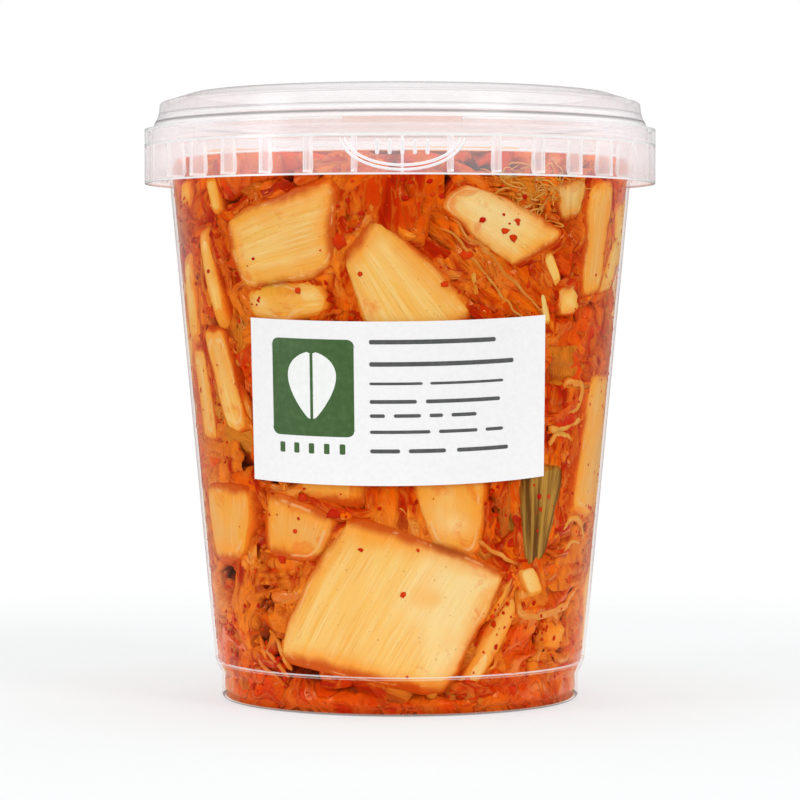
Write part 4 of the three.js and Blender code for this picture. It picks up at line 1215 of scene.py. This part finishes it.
def bed():
    """The bed: inner radius less a depth of slow hollows and sharp folds, and a rolling top.

    Folds are where noise, read at places shifted by other noise, comes near 0.
    """
    azimuth = np.linspace(-math.pi, math.pi, BED_COLUMNS, endpoint=False)[None, :]
    up = np.linspace(FLOOR_TOP + 0.1, FILL_TOP, BED_ROWS)[:, None]
    spot = on_round(fill_radius(up), azimuth, up)
    warp = spots(*(clouds(spot, 10, seed) for seed in (1, 2, 3)))
    hollow = clouds(spot, 13, 4)
    fold = 1 - np.abs(clouds(spot + 7 * warp, 7, 5))
    fine = 1 - np.abs(clouds(spot + 5 * warp, 3.4, 6))
    depth = 2.3 + 1.6 * hollow - 2.4 * fold ** 3 - 0.7 * fine ** 2
    for corners, thick, _ in FRONT_STEMS:
        reach = share_of_cut(corners, np.degrees(azimuth), up)
        depth = depth + min(3.5, 0.5 * thick) * np.clip((1.3 - reach) / 0.3, 0, 1)
    depth = np.maximum(depth, 0.02) * np.clip((up - 2) / 7, 0.1, 1)
    side = on_round(fill_radius(up) + INTO_WALL - depth, azimuth, up)
    rings = np.linspace(1, 0, BED_RINGS)[1:, None]
    top_spot = on_round(fill_radius(FILL_TOP) * rings, azimuth, FILL_TOP)
    swell = 2.0 * clouds(top_spot, 15, 7) - 2.2 * (1 - np.abs(clouds(top_spot, 7, 8))) ** 3
    top = top_spot + spots(0 * swell, 0 * swell, (swell - 0.8) * (1 - rings ** 8))
    share = np.linspace(0, 1, 24)[:, None]
    base_height = FLOOR_TOP - 0.1 - 1.0 * (share > 0.9)
    base = on_round((fill_radius(FLOOR_TOP) + 0.7) * share, azimuth, base_height)
    depths = np.concatenate([np.zeros(base.shape[:2]), depth * np.ones_like(azimuth), 1.5 - 0.4 * swell])
    return skin(np.concatenate([base, side, top]), wrap_columns=True), depths.ravel()


paste = Finish("paste_and_leaf")
paste_depth = paste.field("depth")
wisps = paste.noise(paste.place((1, 1, 0.7)), 120.0, 3.0, 0.5, 1.4)
crest = (1 - (wisps - 0.5).size() * 9).above(0.0, 1.0)
mottle = paste.noise(paste.place(), 90.0, 3.0)
crumbs = paste.noise(paste.place(), 900.0, 3.0)
paste_gold = paste.noise(paste.place(), 60.0, 2.0) + 0.3 * (mottle - 0.5)
paste_shade = (paste_depth / 3 + wisps - 0.5).above(0.3, 1.0)
# The paste goes between orange and red by a mottle, with orange wisps, gold drifts and red crumbs. Its crests
# are painted paler as highlights, and its folds and deep hollows painted dark as shade.
paste_ground = paste.blend(mottle.above(0.36, 0.62), srgb(238, 86, 2), srgb(208, 36, 0))
paste_colour = paste.layers(paste_ground, [
    (wisps.above(0.55, 0.68) * 0.7, srgb(238, 116, 14)),
    # Painted highlight on the crests
    (crest * 0.45, srgb(242, 120, 16)),
    (paste_gold.above(0.48, 0.6) * 0.5, srgb(246, 142, 34)),
    (crumbs.above(0.6, 0.7) * 0.6, srgb(180, 20, 0)),
    (paste_shade * 0.9, srgb(128, 24, 0)),
    # Painted shade in the deep hollows
    (paste_depth.above(2.0, 4.5), srgb(78, 20, 2))])
paste_bump = paste.bump(crest + 0.15 * crumbs, 0.0008, 0.8)
paste_material = paste.done(wet(paste, paste_colour, paste_bump, 0.0, coat=0.12 + 0.5 * crest))
bed_skin, bed_depths = bed()
bed_piece = put("kimchi_bed", [bed_skin], paste_material, fields={"depth": bed_depths})
dress(bed_piece, "kimchi", "kimchi")

# Chili flakes: small flat bits of dried red pepper all through the brine, half of them loose and
# half in flocks where paste has caught, a few of them large. Few lie over the thickest cuts,
# which press on the wall. A large flake is its azimuth, its height and its size.
FLAKES = 2800
FLOCKS = 70
FLAKE_SIDES = 6
FLAKE_RINGS = ((0, 0.08), (1, 0.02), (1, -0.1), (0, -0.15))
FLAKE_POINTS = FLAKE_SIDES * len(FLAKE_RINGS)
MIDDLE_RADIUS = 47
THICK_CUT = 7
LARGE_FLAKES = [(-15.4, 104.8, 1.9), (26.3, 107.0, 1.2), (28.6, 105.6, 1.1), (29.9, 109.2, 0.8),
                (11, 95.2, 0.9), (20.4, 109.4, 0.8), (-18.6, 45.2, 1.7), (0.8, 27.5, 0.8),
                (-11, 37.2, 0.7), (16.6, 101.6, 1.4), (-26.5, 94, 0.9), (33, 30.6, 1.0),
                (-10, 97.6, 0.6), (-27.5, 48.5, 1.3), (42.5, 90, 0.9), (-36, 34.6, 1.5)]


def flakes():
    """Flakes as six-sided discs with a raised middle, each turned and sized by a random draw.

    A flake is four rings of points, each a share of its reach and a lift off the wall: the
    middle and the edge of the front, then the edge and the middle of the back.
    """
    draw = np.random.default_rng(33)
    large = np.array(LARGE_FLAKES)
    flock = draw.integers(0, FLOCKS, FLAKES)
    loose = draw.uniform(size=FLAKES) < 0.5
    stray = draw.normal(0, 1, (2, FLAKES)) * [[0.05], [2.4]]
    flock_azimuth, flock_up = draw.uniform(-math.pi, math.pi, FLOCKS), draw.uniform(6, 118, FLOCKS)
    azimuth = np.where(loose, draw.uniform(-math.pi, math.pi, FLAKES), flock_azimuth[flock] + stray[0])
    up = np.where(loose, draw.uniform(3, 122, FLAKES), np.clip(flock_up[flock] + stray[1], 3, 122))
    nearest = np.min([share_of_cut(corners, np.degrees(azimuth), up)
                      for corners, thick, _ in FRONT_STEMS if thick >= THICK_CUT], axis=0)
    kept = (nearest > 0.95) | (draw.uniform(size=FLAKES) < 0.1)
    azimuth = np.concatenate([np.radians(large[:, 0]), azimuth[kept]])
    up = np.concatenate([large[:, 1], up[kept]])
    count = len(up)
    size = draw.uniform(0.15, 0.5, count) * draw.choice([1, 1, 1, 1.7], count)
    size[:len(large)] = large[:, 2]
    depth = draw.uniform(-0.2, 0.8, count).clip(0) ** 2
    depth[:len(large)] = 0
    ragged = draw.uniform(0.6, 1.25, (count, FLAKE_SIDES))
    corner = np.arange(FLAKE_SIDES)[None, :] * 2 * math.pi / FLAKE_SIDES
    turn = draw.uniform(0, 2 * math.pi, count)[:, None] + corner
    reach = size[:, None] * ragged
    rings = []
    for spread, lift in FLAKE_RINGS:
        right, rise = spread * reach * np.cos(turn), spread * reach * np.sin(turn)
        radius = fill_radius(up)[:, None] + INTO_WALL + lift - depth[:, None]
        rings.append(on_round(radius, azimuth[:, None] + right / MIDDLE_RADIUS, up[:, None] + rise))
    grid = np.stack(rings, axis=1)[:, :, ::-1]
    _, one = skin(grid[0], wrap_columns=True)
    faces = (one[None] + np.arange(count)[:, None, None] * FLAKE_POINTS).reshape(-1, 4)
    return (grid.reshape(-1, 3), faces), np.repeat(draw.uniform(0, 1, count), FLAKE_POINTS)


flake_skin, flake_draw = flakes()
flake_finish = Finish("chili_flake")
flake_tone = flake_finish.field("draw")
flake_colour = flake_finish.blend(flake_tone, srgb(188, 14, 0), srgb(222, 62, 2))
flake_grain = flake_finish.noise(flake_finish.place(), 1500.0, 2.0)
flake_bump = flake_finish.bump(flake_grain, 0.0001, 0.5)
flake_material = flake_finish.done(wet(flake_finish, flake_colour, flake_bump, 0.0, coat=0.03))
flake_piece = put("chili_flakes", [flake_skin], flake_material, fields={"draw": flake_draw})
dress(flake_piece, "kimchi", "kimchi")

# The brine fills what is left up to just below the top, and dyes all that does not touch the
# wall a clear orange. Its foot goes down into the standing ring, which then looks as dyed.
BRINE_TOP = 121.0
levels = np.linspace(FLOOR_TOP + 1, BRINE_TOP, 40)
brine_rows = [(0, FLOOR_TOP - 0.15), (36.9, FLOOR_TOP - 0.15), (37.0, 0.35), (40.3, 0.4), (40.6, 0.9),
              *zip(fill_radius(levels) + 0.02, levels), (0, BRINE_TOP)]
brine_finish = Finish("brine")
brine_edge = brine_finish.node("ShaderNodeLayerWeight", {}, {"Blend": 0.5}, "Facing")
brine_murk = brine_finish.noise(brine_finish.place(), 60.0, 2.0)
brine_colour = brine_finish.blend(brine_murk, srgb(226, 104, 26), srgb(206, 66, 16))
brine_body = brine_finish.node("ShaderNodeBsdfPrincipled", {}, {
    "Base Color": brine_colour, "Roughness": 0.1, "IOR": 1.34})
brine_clear = brine_finish.node("ShaderNodeBsdfTransparent", {}, {"Color": srgb(255, 236, 206)})
brine_share = (0.01 + 0.04 * brine_murk) * (1 + 3 * brine_edge ** 4.0)
brine_shader = brine_finish.node("ShaderNodeMixShader", {}, {0: brine_share, 1: brine_clear, 2: brine_body})
brine = put("brine", [turned(brine_rows)], brine_finish.done(brine_shader), sharp=40)
dress(brine, "kimchi", "kimchi")
